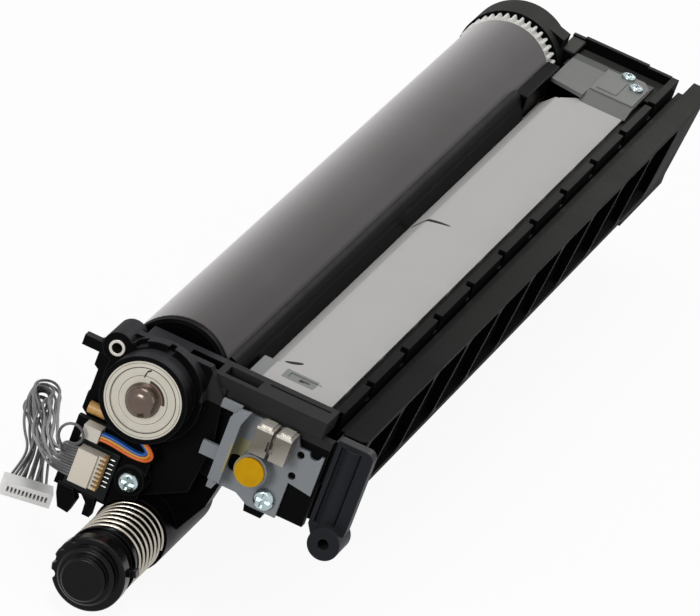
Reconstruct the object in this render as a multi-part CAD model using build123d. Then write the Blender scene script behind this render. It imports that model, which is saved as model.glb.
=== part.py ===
from build123d import *
import os
from math import acos, atan2, cos, degrees, hypot, pi, radians, sin, sqrt, tan

# A printer drum unit: a coated drum in a long moulded frame, with its cleaning blade,
# a worm that carries waste toner to a shuttered outlet, a charge roller, a control board
# and a harness.
# Millimetres. The origin is the centre of the front bearing's outer face. +Y runs along
# the drum to the rear, +X points to the blade side and +Z up.

# Drum
DRUM_R = 15.0
DRUM_WALL = 0.8
DRUM_LENGTH = 314.0
DRUM_Y0 = 30.0
DRUM_Y1 = DRUM_Y0 + DRUM_LENGTH
FLANGE_LIP = 3.0
FLANGE_DEPTH = 12.0

# Drum shaft and its front bearing, a 10 x 22 x 6 ball bearing
SHAFT_R = 5.0
NOSE_R = 4.5
NOSE_OUT = 4.0
BEARING_R = 11.0
BEARING_WIDTH = 6.0
BALL_R = 1.6
BALL_COUNT = 9
RUNNING_GAP = 0.05
GAP = 0.3

# Gears; the drum's gear rolls at the drum's own radius
DRUM_TEETH = 40
CHARGE_TEETH = 15
IDLER_TEETH = 16
AUGER_TEETH = 20
MODULE = 2 * DRUM_R / DRUM_TEETH
PRESSURE_ANGLE = radians(20)
ADDENDUM = 0.8 * MODULE
DEDENDUM = 1.05 * MODULE
BACKLASH = 0.12
GEAR_WIDTH = 6.0
IDLER_PIN_R = 2.0

# Charge roller, below the drum on its far side
CHARGE_ANGLE = radians(-115)
CHARGE_SHAFT_R = 3.0
CHARGE_GAP = 0.3
CHARGE_WALL = 1.6
CHARGE_ROOM = 1.0

# Waste toner worm, in the trough below the blade
AUGER_X = DRUM_R + 12.0
AUGER_Z = -11.0
AUGER_R = 5.8
AUGER_SHAFT_R = 2.0
AUGER_BLADE = 1.2
AUGER_PITCH = 14.0
TROUGH_GAP = 0.9
WALL = 1.6

# Blade holder and cleaning blade, beside the drum
LEDGE_Z = 4.8
PLATE = 1.2
PLATE_Z = LEDGE_Z + PLATE
PLATE_X0 = DRUM_R + 7.0
PLATE_WIDE = 20.3
PLATE_X1 = PLATE_X0 + PLATE_WIDE
PLATE_Y0 = DRUM_Y0 + 4.5
PLATE_Y1 = DRUM_Y1 - 9.0
HOLE_R = 1.3
TAB_OUT = 4.4
TAB_LONG = 15.5
SLOPE = radians(45)
SLOPE_LENGTH = 6.2
SLOPE_CUT = 9.0
NOTCH_X = PLATE_X0 + 5.5
NOTCH_LONG = 6.3
BLADE_THICK = 1.8
BLADE_WIDTH = 8.0
BLADE_GAP = 0.25
GUARD_GAP = 0.65
GUARD_ANGLE = radians(37)
GUARD_HIGH = 9.9
GUARD_Y1 = DRUM_Y1 - 38.0

# Frame
FRAME_Y0 = DRUM_Y0 - 4.0
FRAME_Y1 = DRUM_Y1 + 7.0
TROUGH_Y1 = DRUM_Y1 - 1.0
RIDGE_X0 = PLATE_X1 + 3.4
RIDGE_X1 = RIDGE_X0 + 2.3
RIDGE_Z = 10.3
RIDGE_PITCH = 32.2
RIDGE_NOTCH = 4.0
TOP_FLANGE_X0 = RIDGE_X1 + 2.5
TOP_FLANGE_X1 = TOP_FLANGE_X0 + 6.7
TOP_FLANGE_Y0 = FRAME_Y0 - 4.0
TOP_FLANGE_Z = 6.5
TOP_FLANGE_THICK = 1.2
SIDE_TOP_X = TOP_FLANGE_X1 - 0.2
SIDE_LOW_X = SIDE_TOP_X - 3.0
SIDE_LOW_Z = AUGER_Z - 9.5
BAY_DEPTH = 3.4
RIB = 1.8
RAIL = 1.6
VALLEY_Z = LEDGE_Z - WALL - 1.0
LIP_GAP = 2.2
LIP_Z = -4.2

# Rear bridge over the blade holder's end, and the earth plate on it
BRIDGE_Y0 = DRUM_Y1 - 10.0
BRIDGE_FOLD_Y = BRIDGE_Y0 + 3.5
BRIDGE_Y1 = DRUM_Y1 + 18.5
BRIDGE_X1 = PLATE_X1 + 0.7
BRIDGE_RISE = 2.0
EARTH_PLATE = 0.5
EARTH_X0 = NOTCH_X + 1.0
EARTH_PANEL = 0.3

# Front end
END_WALL = 3.0
END_Y0 = FRAME_Y0 - 14.0
END_Y1 = END_Y0 + END_WALL
BAR_X0 = 6.0 - DRUM_R
BAR_X1 = RIDGE_X0 + 1.0
BAR_Y0 = FRAME_Y0 - 9.8
BAR_Z0 = 5.4
BAR_Z1 = 10.3
BAR_OPENINGS = ((DRUM_R - 11.2, DRUM_R - 1.8), (DRUM_R + 0.2, DRUM_R + 10.0))
COLLAR_R = BEARING_R + 1.4
COLLAR_LONG = 4.0
NECK_R = COLLAR_R - 0.4
BACK_COLLAR_R = COLLAR_R + 1.8
BACK_COLLAR_Y0 = 8.0
SLEEVE_X = -13.0
SLEEVE_Z = 7.5
SLEEVE_R = 2.3
SLEEVE_BORE = 1.5
SLEEVE_LENGTH = 12.0
SLEEVE_BOSS_R = 4.3
CARRIER_Y0 = 8.0
CARRIER_X0 = -16.6
CARRIER_X1 = 6.4
CARRIER_Z0 = -36.0
CARRIER_Z1 = -15.0
POST_R = 4.2
BOARD_SCREW_R = 1.3
BOARD_SCREW_X = 3.0
BOARD_SCREW_Z = -26.0

# Rear end
CAP_WALL = 2.4
CAP_Y1 = FRAME_Y1 + 24.0
HOOD_R = 16.2
HOOD_WALL = 1.6
HOOD_Y1 = FRAME_Y1 + 13.0
REAR_WALL_Y0 = CAP_Y1 - 3.6
REAR_WALL_Z = 9.8
REAR_BOX_Z = -24.0
COUPLING_R = 8.0
BRIDGE_X0 = HOOD_R + 1.1

# Waste toner outlet, under the front end
OUTLET_X = 7.7
OUTLET_Z = -41.6
OUTLET_R = 9.0
OUTLET_WALL = 1.2
HOUSING_R = 10.6
HOUSING_Y0 = 10.0
HOUSING_Y1 = 54.0
SHUTTER_TRAVEL = 8.0
SPRING_R = 9.5
SPRING_WIRE = 1.0
SPRING_TURNS = 7
SPRING_Y0 = -14.0
CAP_FRONT_Y = -30.5
CAP_DISC_R = 6.2
CAP_STEP_R = 8.0
CAP_FLANGE_R = 10.4
CAP_FLANGE_Y0 = CAP_FRONT_Y + 5.1
LUG_ANGLE = 20
CAP_FLANGE_Y1 = CAP_FLANGE_Y0 + 4.2
CAP_BACK_Y = CAP_FLANGE_Y0 + 0.4
TUBE_Y0 = CAP_BACK_Y + SHUTTER_TRAVEL + 0.6
SLOT_Y0 = TUBE_Y0 + 3.0
SLOT_LONG = 4.0
SLOT_WIDE = 7.0
SHUTTER_Y1 = SLOT_Y0 + SLOT_LONG + 1.6

# Terminal bracket, its contact block, colour mark and screw
BRACKET_THICK = 1.2
BRACKET_X0 = AUGER_X - 4.4
BRACKET_X1 = BRACKET_X0 + 26.8
BRACKET_WING = 8.0
LOBE_X = AUGER_X + 11.0
LOBE_Z = AUGER_Z - 6.0
MARK_R = 4.1
MARK_X = AUGER_X + 5.7
MARK_Z = AUGER_Z + 2.0
CONTACT_X = AUGER_X + 8.6
CONTACT_DEEP = 7.0

# Locating arm
ARM_Y0 = END_Y0 + 2.0
ARM_THICK = 4.0
ARM_X0 = TOP_FLANGE_X0 + 0.9
ARM_WIDE = 10.6
ARM_X1 = ARM_X0 + ARM_WIDE
ARM_Z1 = 7.6
ARM_POCKET = 1.4
ARM_RIB_R = 2.6
ARM_HUB_X = ARM_X0 + 6.6
ARM_HUB_Z = -20.5
ARM_HUB_R = 4.6
ARM_BORE = 1.6

# Control board and its connectors
BOARD_THICK = 1.2
BOARD_X0 = -14.0
BOARD_X1 = -1.6
BOARD_Z0 = -34.8
BOARD_Z1 = -20.5
SOCKET_X0 = -12.3
SOCKET_X1 = -4.2
SOCKET_Z0 = -31.6
SOCKET_Z1 = -21.6
SOCKET_HIGH = 4.2
SOCKET_WAYS = 7
LAMP_SOCKET_LONG = 5.0
LAMP_SOCKET_Z = -17.0

# Leads of the erase lamp: each has a nest, from the inside out, and a column in depth
LEAD_R = 0.4
LEAD_PITCH = 0.95
LEAD_START_X = -8.3
LEADS = {
    "blue_leads": ((0, 0), (0, 1)),
    "yellow_lead": ((1, 0),),
    "red_lead": ((1, 1),),
    "orange_lead": ((2, 0),),
}

# Harness: it leaves the socket to the left, falls to the plane of the unit's lowest point,
# runs back, folds over and comes forward to its plug
FLOOR_Z = OUTLET_Z - CAP_FLANGE_R
BUNDLE_R = 1.9
BUNDLE_Z = FLOOR_Z + BUNDLE_R
HARNESS_ROUTE = [
    (SOCKET_X0 - 0.05, 4.7, -26.6), (-19.0, 4.7, -26.6), (-23.2, 9.0, -31.2), (-25.4, 17.5, -37.0),
    (-26.8, 28.0, -42.6), (-28.0, 39.5, -47.0), (-29.4, 52.0, BUNDLE_Z + 0.3), (-31.4, 65.0, BUNDLE_Z),
    (-35.0, 77.5, BUNDLE_Z), (-40.0, 88.0, BUNDLE_Z), (-46.5, 92.0, BUNDLE_Z), (-49.0, 84.5, BUNDLE_Z),
    (-45.0, 74.5, BUNDLE_Z), (-40.6, 63.0, BUNDLE_Z), (-36.4, 51.5, BUNDLE_Z), (-31.6, 40.5, BUNDLE_Z),
    (-27.4, 29.0, BUNDLE_Z)]
PLUG_WIDE = 14.0
PLUG_DEEP = 6.0
PLUG_HIGH = 4.2
PLUG_WAYS = 11


# Shapes
def bar(radius, y0, y1, x=0.0, z=0.0):
    """A round bar along Y."""
    return Pos(x, (y0 + y1) / 2, z) * Rot(90, 0, 0) * Cylinder(radius, y1 - y0)


def tube(radius, bore, y0, y1, x=0.0, z=0.0):
    """A round tube along Y."""
    return bar(radius, y0, y1, x, z) - bar(bore, y0 - 1, y1 + 1, x, z)


def block(x0, x1, y0, y1, z0, z1):
    """A box between two corners."""
    return Pos((x0 + x1) / 2, (y0 + y1) / 2, (z0 + z1) / 2) * Box(x1 - x0, y1 - y0, z1 - z0)


def run(face, y0, y1):
    """A profile drawn in X and Z, run along Y."""
    return extrude(Plane.XZ.offset(-y0) * face, -(y1 - y0))


def profile(points):
    return make_face(Polyline(*points, close=True))


def section(points, y0, y1):
    """A straight-sided profile in X and Z, run along Y."""
    return run(profile(points), y0, y1)


def flat_plate(points, z0, z1):
    """A straight-sided outline in X and Y, standing on z0."""
    return extrude(Plane.XY.offset(z0) * profile(points), z1 - z0)


def turned(points, x=0.0, z=0.0):
    """A turned solid on the Y axis, from (radius, y) points."""
    half = make_face(Polyline(*[(r, y) for r, y in points], close=True))
    return Pos(x, 0, z) * revolve(half, Axis.Y)


def polar(radius, angle, x=0.0, z=0.0):
    return x + radius * cos(angle), z + radius * sin(angle)


# Gears
def pitch_r(teeth):
    return teeth * MODULE / 2


def tooth(teeth):
    """One tooth's outline, from its root on one side to its root on the other."""
    pitch = pitch_r(teeth)
    base = pitch * cos(PRESSURE_ANGLE)
    root, tip = pitch - DEDENDUM, pitch + ADDENDUM
    at_pitch = tan(PRESSURE_ANGLE) - PRESSURE_ANGLE
    half = pi / (2 * teeth) - BACKLASH / (2 * pitch)
    flank = [(root, half + at_pitch)] if root < base else []
    start = max(root, base)
    for i in range(4):
        r = start + (tip - start) * i / 3
        roll = acos(base / r)
        flank.append((r, half + at_pitch - (tan(roll) - roll)))
    return [(r, -a) for r, a in flank] + [(r, a) for r, a in reversed(flank)]


def gear(teeth, y0, y1, x, z, turn=0.0, bore=0.0):
    """A spur gear along Y, with a tooth at the angle turn."""
    points = []
    for i in range(teeth):
        middle = turn + 2 * pi * i / teeth
        points += [polar(r, middle + a) for r, a in tooth(teeth)]
    body = Pos(x, 0, z) * section(points, y0, y1)
    return body - bar(bore, y0 - 1, y1 + 1, x, z) if bore else body


def mesh_turn(teeth, direction, driver_teeth, driver_turn=0.0):
    """The turn that puts a gap on the driver's tooth, looking back along direction."""
    driver_phase = (direction - driver_turn) * driver_teeth / (2 * pi)
    return direction + pi - (2 * pi / teeth) * (0.5 - driver_phase)


def apex(first, second, r1, r2):
    """The point r1 from the first centre and r2 from the second, on the low side."""
    dx, dz = second[0] - first[0], second[1] - first[1]
    far = hypot(dx, dz)
    along = (r1 * r1 - r2 * r2 + far * far) / (2 * far)
    side = sqrt(r1 * r1 - along * along)
    return (first[0] + (along * dx + side * dz) / far, first[1] + (along * dz - side * dx) / far)


GEAR_Y0 = DRUM_Y1 + 0.4
GEAR_Y1 = GEAR_Y0 + GEAR_WIDTH
CHARGE_FAR = pitch_r(DRUM_TEETH) + pitch_r(CHARGE_TEETH)
CHARGE_X, CHARGE_Z = polar(CHARGE_FAR, CHARGE_ANGLE)
CHARGE_R = CHARGE_FAR - DRUM_R - CHARGE_GAP
IDLER_X, IDLER_Z = apex((0, 0), (AUGER_X, AUGER_Z), pitch_r(DRUM_TEETH) + pitch_r(IDLER_TEETH),
                        pitch_r(IDLER_TEETH) + pitch_r(AUGER_TEETH))
IDLER_ANGLE = atan2(IDLER_Z, IDLER_X)
AUGER_ANGLE = atan2(AUGER_Z - IDLER_Z, AUGER_X - IDLER_X)
IDLER_TURN = mesh_turn(IDLER_TEETH, IDLER_ANGLE, DRUM_TEETH)
CHARGE_INNER = CHARGE_R + CHARGE_ROOM


# The drum and what turns with it
def drum_tube():
    return tube(DRUM_R, DRUM_R - DRUM_WALL, DRUM_Y0, DRUM_Y1)


def drum_front_flange():
    """The moulded plug that carries the drum's front end on the shaft."""
    inner = DRUM_R - DRUM_WALL
    y0 = DRUM_Y0 - FLANGE_LIP
    y1 = DRUM_Y0 + FLANGE_DEPTH
    plug = turned([(SHAFT_R, y0), (inner - 0.2, y0), (DRUM_R - 0.3, y0 + 0.6), (DRUM_R - 0.3, DRUM_Y0),
                   (inner, DRUM_Y0), (inner, y1), (inner - 2, y1), (inner - 2, DRUM_Y0 + 1),
                   (SHAFT_R + 2, DRUM_Y0 + 1), (SHAFT_R + 2, y1), (SHAFT_R, y1)])
    return plug - tube(inner - 1.6, SHAFT_R + 2.6, y0 - 1, y0 + 1.2)


def drum_gear():
    """The drum's rear flange, moulded in one piece with its gear ring."""
    inner = DRUM_R - DRUM_WALL
    plug = tube(inner, inner - 2, DRUM_Y1 - FLANGE_DEPTH, DRUM_Y1)
    rim = tube(DRUM_R + 0.1, SHAFT_R, DRUM_Y1, GEAR_Y0)
    ring = gear(DRUM_TEETH, GEAR_Y0, GEAR_Y1, 0, 0, 0, SHAFT_R)
    hub = tube(SHAFT_R + 2, SHAFT_R, DRUM_Y1 - FLANGE_DEPTH, DRUM_Y1)
    face = tube(DRUM_R - 3, SHAFT_R + 2.5, GEAR_Y1 - 2.5, GEAR_Y1 + 1)
    return plug + rim + ring + hub - face


def drum_shaft():
    """The steel shaft, with a domed nose that finds its seat in the machine."""
    nose = bar(NOSE_R, -NOSE_OUT, 0)
    nose = fillet(nose.edges().filter_by(GeomType.CIRCLE).sort_by(Axis.Y)[0], 0.62 * NOSE_R)
    flat = block(NOSE_R - 0.8, NOSE_R + 1, -NOSE_OUT - 1, -0.4, -NOSE_R, NOSE_R)
    return nose - flat + bar(SHAFT_R, 0, CAP_Y1 - 3)


def bearing_inner_ring():
    ring = tube(SHAFT_R + 1.8, SHAFT_R, 0.2, BEARING_WIDTH)
    return ring - ball_groove()


def ball_pitch_r():
    return (SHAFT_R + BEARING_R) / 2


def ball_groove():
    circle = Plane.XY * Pos(ball_pitch_r(), BEARING_WIDTH / 2) * Circle(BALL_R + 0.05)
    return revolve(circle, Axis.Y)


def bearing_outer_ring():
    return tube(BEARING_R, BEARING_R - 1.9, 0, BEARING_WIDTH) - ball_groove()


def bearing_balls():
    balls = []
    for i in range(BALL_COUNT):
        x, z = polar(ball_pitch_r(), 2 * pi * i / BALL_COUNT)
        balls.append(Pos(x, BEARING_WIDTH / 2, z) * Sphere(BALL_R))
    return Compound(children=balls)


def bearing_shield():
    """The pressed shield that closes the bearing's outer face."""
    plate = tube(BEARING_R - 1.9, SHAFT_R + 1.9, 0.3, 0.6)
    return plate + tube(BEARING_R - 1.9, BEARING_R - 2.2, 0.3, 0.9)


def drive_coupling():
    """The dog coupling on the shaft's rear end, with three lugs."""
    y0 = CAP_Y1 - 11
    hub = tube(COUPLING_R, SHAFT_R, y0, CAP_Y1 - 3)
    lugs = []
    for i in range(3):
        x, z = polar(COUPLING_R - 2.4, 2 * pi * i / 3 + pi / 2)
        lugs.append(bar(1.9, CAP_Y1 - 3, CAP_Y1 + 2.5, x, z))
    return hub + lugs


# The charge roller
def charge_roller():
    return tube(CHARGE_R, CHARGE_SHAFT_R, DRUM_Y0 + 6, DRUM_Y1 - 8, CHARGE_X, CHARGE_Z)


def charge_shaft():
    return bar(CHARGE_SHAFT_R, DRUM_Y0 - 6, GEAR_Y1 + 0.5, CHARGE_X, CHARGE_Z)


def charge_gear():
    turn = mesh_turn(CHARGE_TEETH, CHARGE_ANGLE, DRUM_TEETH)
    return gear(CHARGE_TEETH, GEAR_Y0 + 0.5, GEAR_Y1 - 0.5, CHARGE_X, CHARGE_Z, turn, CHARGE_SHAFT_R)


def charge_housing():
    """The open channel that holds the charge roller, with a bearing block at each end."""
    outer = CHARGE_INNER + CHARGE_WALL
    y1 = DRUM_Y1 - 1.6
    shell = tube(outer, CHARGE_INNER, FRAME_Y0, y1, CHARGE_X, CHARGE_Z)
    foot = block(CHARGE_X - 6, CHARGE_X + 6, FRAME_Y0, FRAME_Y1, CHARGE_Z - outer - 1.4,
                 CHARGE_Z - CHARGE_INNER - 0.4)
    ends = []
    for y in (FRAME_Y0, y1 - 5):
        ends.append(tube(CHARGE_INNER + 0.4, CHARGE_SHAFT_R + RUNNING_GAP, y, y + 5, CHARGE_X, CHARGE_Z))
    mouth = bar(DRUM_R + 1.2, FRAME_Y0 - 1, y1 + 1)
    return shell + foot + ends - mouth


# The waste toner worm and its gears
def auger_shaft():
    return bar(AUGER_SHAFT_R, END_Y1 + 1.2, GEAR_Y1 + 3.5, AUGER_X, AUGER_Z)


def auger():
    """A single worm blade wound round the worm's core."""
    y0, y1 = FRAME_Y0 - 6, DRUM_Y1 - 14
    core = tube(AUGER_SHAFT_R + 1, AUGER_SHAFT_R, y0, y1, AUGER_X, AUGER_Z)
    turns = (y1 - y0 - AUGER_PITCH) / AUGER_PITCH
    path = Helix(AUGER_PITCH, turns * AUGER_PITCH, AUGER_SHAFT_R + 1)
    out = AUGER_R - AUGER_SHAFT_R - 1
    blade = Plane.XZ * Pos(AUGER_SHAFT_R + 0.8 + out / 2 + 0.1, 0) * Rectangle(out + 0.2, AUGER_BLADE)
    worm = sweep(blade, path=path, is_frenet=True)
    worm = Pos(AUGER_X, y0 + AUGER_PITCH / 2, AUGER_Z) * Rot(-90, 0, 0) * worm
    return core + worm


def auger_gear():
    turn = mesh_turn(AUGER_TEETH, AUGER_ANGLE, IDLER_TEETH, IDLER_TURN)
    return gear(AUGER_TEETH, GEAR_Y0 + 0.5, GEAR_Y1 - 0.5, AUGER_X, AUGER_Z, turn, AUGER_SHAFT_R)


def idler_gear():
    wheel = gear(IDLER_TEETH, GEAR_Y0 + 0.25, GEAR_Y1 - 0.25, IDLER_X, IDLER_Z, IDLER_TURN,
                 IDLER_PIN_R + RUNNING_GAP)
    return wheel + tube(IDLER_PIN_R + 1.4, IDLER_PIN_R + RUNNING_GAP, GEAR_Y1 - 0.25, GEAR_Y1 + 0.5,
                        IDLER_X, IDLER_Z)


def idler_pin():
    head = bar(IDLER_PIN_R + 0.9, GEAR_Y0 - 0.6, GEAR_Y0, IDLER_X, IDLER_Z)
    return head + bar(IDLER_PIN_R, GEAR_Y0, FRAME_Y1 + CAP_WALL + 2, IDLER_X, IDLER_Z)


# The long frame
def side_x(z):
    """The outer face of the side wall at a height."""
    share = (TOP_FLANGE_Z - z) / (TOP_FLANGE_Z - SIDE_LOW_Z)
    return SIDE_TOP_X + (SIDE_LOW_X - SIDE_TOP_X) * share


def side_frame():
    """The trough for waste toner and the ribbed side wall, moulded in one piece."""
    low = SIDE_LOW_Z - RAIL
    under = TOP_FLANGE_Z - TOP_FLANGE_THICK
    wall = section([(TOP_FLANGE_X0, under), (side_x(under), under), (side_x(SIDE_LOW_Z), SIDE_LOW_Z),
                    (side_x(SIDE_LOW_Z), low), (TOP_FLANGE_X0 - 2, low), (TOP_FLANGE_X0 - 2, under)],
                   FRAME_Y0, CAP_Y1)
    for bay_y in bays():
        wall -= bay(bay_y)
    corner = 3.0
    flange = flat_plate([(TOP_FLANGE_X0, TOP_FLANGE_Y0), (TOP_FLANGE_X1 - corner / 2, TOP_FLANGE_Y0),
                         (TOP_FLANGE_X1, TOP_FLANGE_Y0 + corner / 2), (TOP_FLANGE_X1, CAP_Y1 + corner),
                         (TOP_FLANGE_X1 - corner, CAP_Y1 + 10), (TOP_FLANGE_X0, CAP_Y1 + 10)],
                        under, TOP_FLANGE_Z)
    valley = block(PLATE_X1, TOP_FLANGE_X0 + 1, FRAME_Y0, FRAME_Y1, VALLEY_Z, LEDGE_Z - 1)
    ledge = block(PLATE_X1 - 5, RIDGE_X0 - 1.2, FRAME_Y0, FRAME_Y1, VALLEY_Z, LEDGE_Z)
    trough = trough_shell()
    rim = AUGER_X + AUGER_R + TROUGH_GAP + WALL
    shelf = section([(PLATE_X1 - 2, LEDGE_Z - 1), (PLATE_X1, LEDGE_Z - 1), (rim + 0.9, AUGER_Z),
                     (rim - 1.1, AUGER_Z)], FRAME_Y0, TROUGH_Y1)
    floor = block(AUGER_X, TOP_FLANGE_X0, FRAME_Y0, FRAME_Y1, low, SIDE_LOW_Z)
    return wall + flange + valley + ledge + trough + shelf + floor + ridges() + rear_foot()


def bays():
    y = FRAME_Y0 + 4
    ends = []
    while y + RIDGE_PITCH < CAP_Y1 - 12:
        ends.append(y)
        y += RIDGE_PITCH
    return ends


def bay(y):
    """A pocket in the side wall, round at its top corners."""
    high = TOP_FLANGE_Z - TOP_FLANGE_THICK - 0.8
    tall = high - SIDE_LOW_Z
    long = RIDGE_PITCH - RIB
    pocket = Plane.YZ.offset(TOP_FLANGE_X0 + 1.2) * Pos(y + long / 2, high - tall / 2)
    return extrude(pocket * RectangleRounded(long, tall, 4), BAY_DEPTH + 3)


def ridges():
    """The upstanding rail beside the blade holder, cut into equal lengths."""
    rail = block(RIDGE_X0, RIDGE_X1, FRAME_Y0, REAR_WALL_Y0, VALLEY_Z, RIDGE_Z)
    y = FRAME_Y0 + RIDGE_PITCH - 2 * RIDGE_NOTCH
    while y < REAR_WALL_Y0 - RIDGE_NOTCH:
        rail -= block(RIDGE_X0 - 1, RIDGE_X1 + 1, y, y + RIDGE_NOTCH, LEDGE_Z + 1, RIDGE_Z + 1)
        y += RIDGE_PITCH
    return rail


def lip_point(out):
    """A point of the trough's lip, beside the drum and a little below its middle."""
    return DRUM_R + LIP_GAP + out, LIP_Z + 0.43 * out


def trough_shell():
    """The half round channel round the worm, up to its lip beside the drum."""
    inner = AUGER_R + TROUGH_GAP
    outer = inner + WALL
    ring = tube(outer, inner, FRAME_Y0, TROUGH_Y1, AUGER_X, AUGER_Z)
    ring -= block(AUGER_X - 20, AUGER_X + 20, FRAME_Y0 - 1, TROUGH_Y1 + 1, AUGER_Z, AUGER_Z + 20)
    lip = section([(AUGER_X - outer, AUGER_Z), (AUGER_X - inner, AUGER_Z), lip_point(1.4), lip_point(0)],
                  FRAME_Y0, TROUGH_Y1)
    end_y = DRUM_Y1 - 8
    end = tube(inner + 0.5, AUGER_SHAFT_R + RUNNING_GAP, end_y, end_y + WALL, AUGER_X, AUGER_Z)
    return ring + lip + end


def rear_foot():
    """The deeper stretch of the lower rail at the rear."""
    return block(SIDE_LOW_X - 4, SIDE_LOW_X, CAP_Y1 - 48, CAP_Y1, SIDE_LOW_Z - RAIL - 1.5, SIDE_LOW_Z)


def recovery_seal():
    """The film that closes the gap between the trough's lip and the drum."""
    tip_x, tip_z = polar(DRUM_R + BLADE_GAP, radians(-30))
    x, z = lip_point(0)
    return section([(x, z), (tip_x, tip_z), (tip_x + 0.25, tip_z - 0.35), (x + 0.15, z - 0.7)],
                   DRUM_Y0 + 2, DRUM_Y1 - 2)


# The blade holder, the blade and the strip above it
def slope_point(along, down=0.0):
    """A point on the holder's sloping flange, along it from its bend and down through it."""
    return (PLATE_X0 - along * cos(SLOPE) + down * sin(SLOPE),
            PLATE_Z - along * sin(SLOPE) - down * cos(SLOPE))


def blade_holder():
    """The folded steel plate that carries the blade, with a flat tab left at its front end,
    a locating slot in a pressed recess, and its rear corner cut back beside the bridge."""
    mitre = PLATE * tan(SLOPE / 2)
    bend = (PLATE_X0 + mitre, PLATE_Z - PLATE)
    outline = profile([slope_point(SLOPE_LENGTH), (PLATE_X0, PLATE_Z), (PLATE_X0 + 2, PLATE_Z),
                       (PLATE_X0 + 2, PLATE_Z - PLATE), bend, slope_point(SLOPE_LENGTH, PLATE)])
    crest = [v for v in outline.vertices() if abs(v.Y - PLATE_Z) < 0.01 and v.X < PLATE_X0 + 1]
    folded = run(fillet(crest, 1.6), PLATE_Y0 + TAB_LONG, PLATE_Y1 - SLOPE_CUT)
    flat = flat_plate([(PLATE_X0 - TAB_OUT, PLATE_Y0), (PLATE_X1, PLATE_Y0), (PLATE_X1, PLATE_Y1),
                       (NOTCH_X, PLATE_Y1), (NOTCH_X, PLATE_Y1 - 2),
                       (PLATE_X0 + 1, PLATE_Y1 - 2 - NOTCH_LONG), (PLATE_X0 + 1, PLATE_Y0 + TAB_LONG),
                       (PLATE_X0 - TAB_OUT, PLATE_Y0 + TAB_LONG)], PLATE_Z - PLATE, PLATE_Z)
    x, y = PLATE_X0 + 9.4, PLATE_Y0 + 10.5
    recess = block(x - 4.6, x + 4.6, y - 1.9, y + 1.9, PLATE_Z - 0.3, PLATE_Z + 1)
    slot = block(x - 1.4, x + 1.4, y - 0.6, y + 0.6, PLATE_Z - PLATE - 1, PLATE_Z)
    return folded + flat - recess - slot


def cleaning_blade():
    """The rubber strip glued under the slope; it stops just short of the drum."""
    x, z = slope_point(SLOPE_LENGTH, PLATE)
    middle = x * cos(SLOPE) + z * sin(SLOPE)
    reach = DRUM_R + BLADE_GAP
    free = middle - sqrt(middle * middle - (x * x + z * z - reach * reach))
    start = SLOPE_LENGTH + free - BLADE_WIDTH
    end = SLOPE_LENGTH + free
    return section([slope_point(start, PLATE), slope_point(end, PLATE),
                    slope_point(end, PLATE + BLADE_THICK), slope_point(start, PLATE + BLADE_THICK)],
                   PLATE_Y0 + 2, PLATE_Y1 - 1)


def guard_strip():
    """The black strip that stands on the slope and reaches over the drum's edge; its top is
    rounded, and it is narrow beside the holder's front tab."""
    foot, heel = slope_point(SLOPE_LENGTH - 1.0), slope_point(SLOPE_LENGTH - 0.2)
    near = polar(DRUM_R + GUARD_GAP, GUARD_ANGLE)
    rise = polar(DRUM_R + GUARD_GAP + 0.6, GUARD_ANGLE + 0.02)
    shoulder = (near[0] + 4.0, near[1] - 3.1)
    crown = ((rise[0] + shoulder[0]) / 2 + 0.5, GUARD_HIGH - 0.9)
    edge = [Line(near, rise), ThreePointArc(rise, crown, shoulder),
            Polyline(shoulder, foot, heel, (heel[0] - 1.1, heel[1] + 2.2), near)]
    face = make_face(edge)
    strip = run(face, PLATE_Y0 + TAB_LONG + 0.5, GUARD_Y1)
    narrow = run(face, FRAME_Y0 + 3, PLATE_Y0 + TAB_LONG + 0.5)
    return strip + (narrow & block(0, PLATE_X0 - TAB_OUT - GAP, 0, PLATE_Y1, 0, GUARD_HIGH + 3))


def bridge_screw_places():
    return ((BRIDGE_X1 - 3.4, BRIDGE_Y1 - 10), (BRIDGE_X1 - 7.8, BRIDGE_Y1 - 3.4))


def rear_bridge():
    """The raised steel plate that ties the blade holder to the rear end: a ramp up from the
    holder, a fold, and a flat with its screw holes."""
    top = PLATE_Z + BRIDGE_RISE
    flat = flat_plate([(BRIDGE_X0, BRIDGE_Y0), (NOTCH_X + 0.8, BRIDGE_Y0 - 2.5),
                       (NOTCH_X + 0.8, BRIDGE_FOLD_Y), (BRIDGE_X1, BRIDGE_FOLD_Y), (BRIDGE_X1, BRIDGE_Y1),
                       (BRIDGE_X0, BRIDGE_Y1)], top - PLATE, top)
    slant = Polyline((BRIDGE_FOLD_Y - 6.5, PLATE_Z), (BRIDGE_FOLD_Y, top), (BRIDGE_FOLD_Y, top - PLATE),
                     (BRIDGE_FOLD_Y - 2.6, PLATE_Z), close=True)
    ramp = extrude(Plane.YZ.offset(NOTCH_X + 0.8) * make_face(slant), BRIDGE_X1 - NOTCH_X - 0.8)
    plate = flat + ramp
    for x, y in bridge_screw_places():
        plate -= Pos(x, y, top) * Cylinder(HOLE_R, 4)
    return plate


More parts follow.
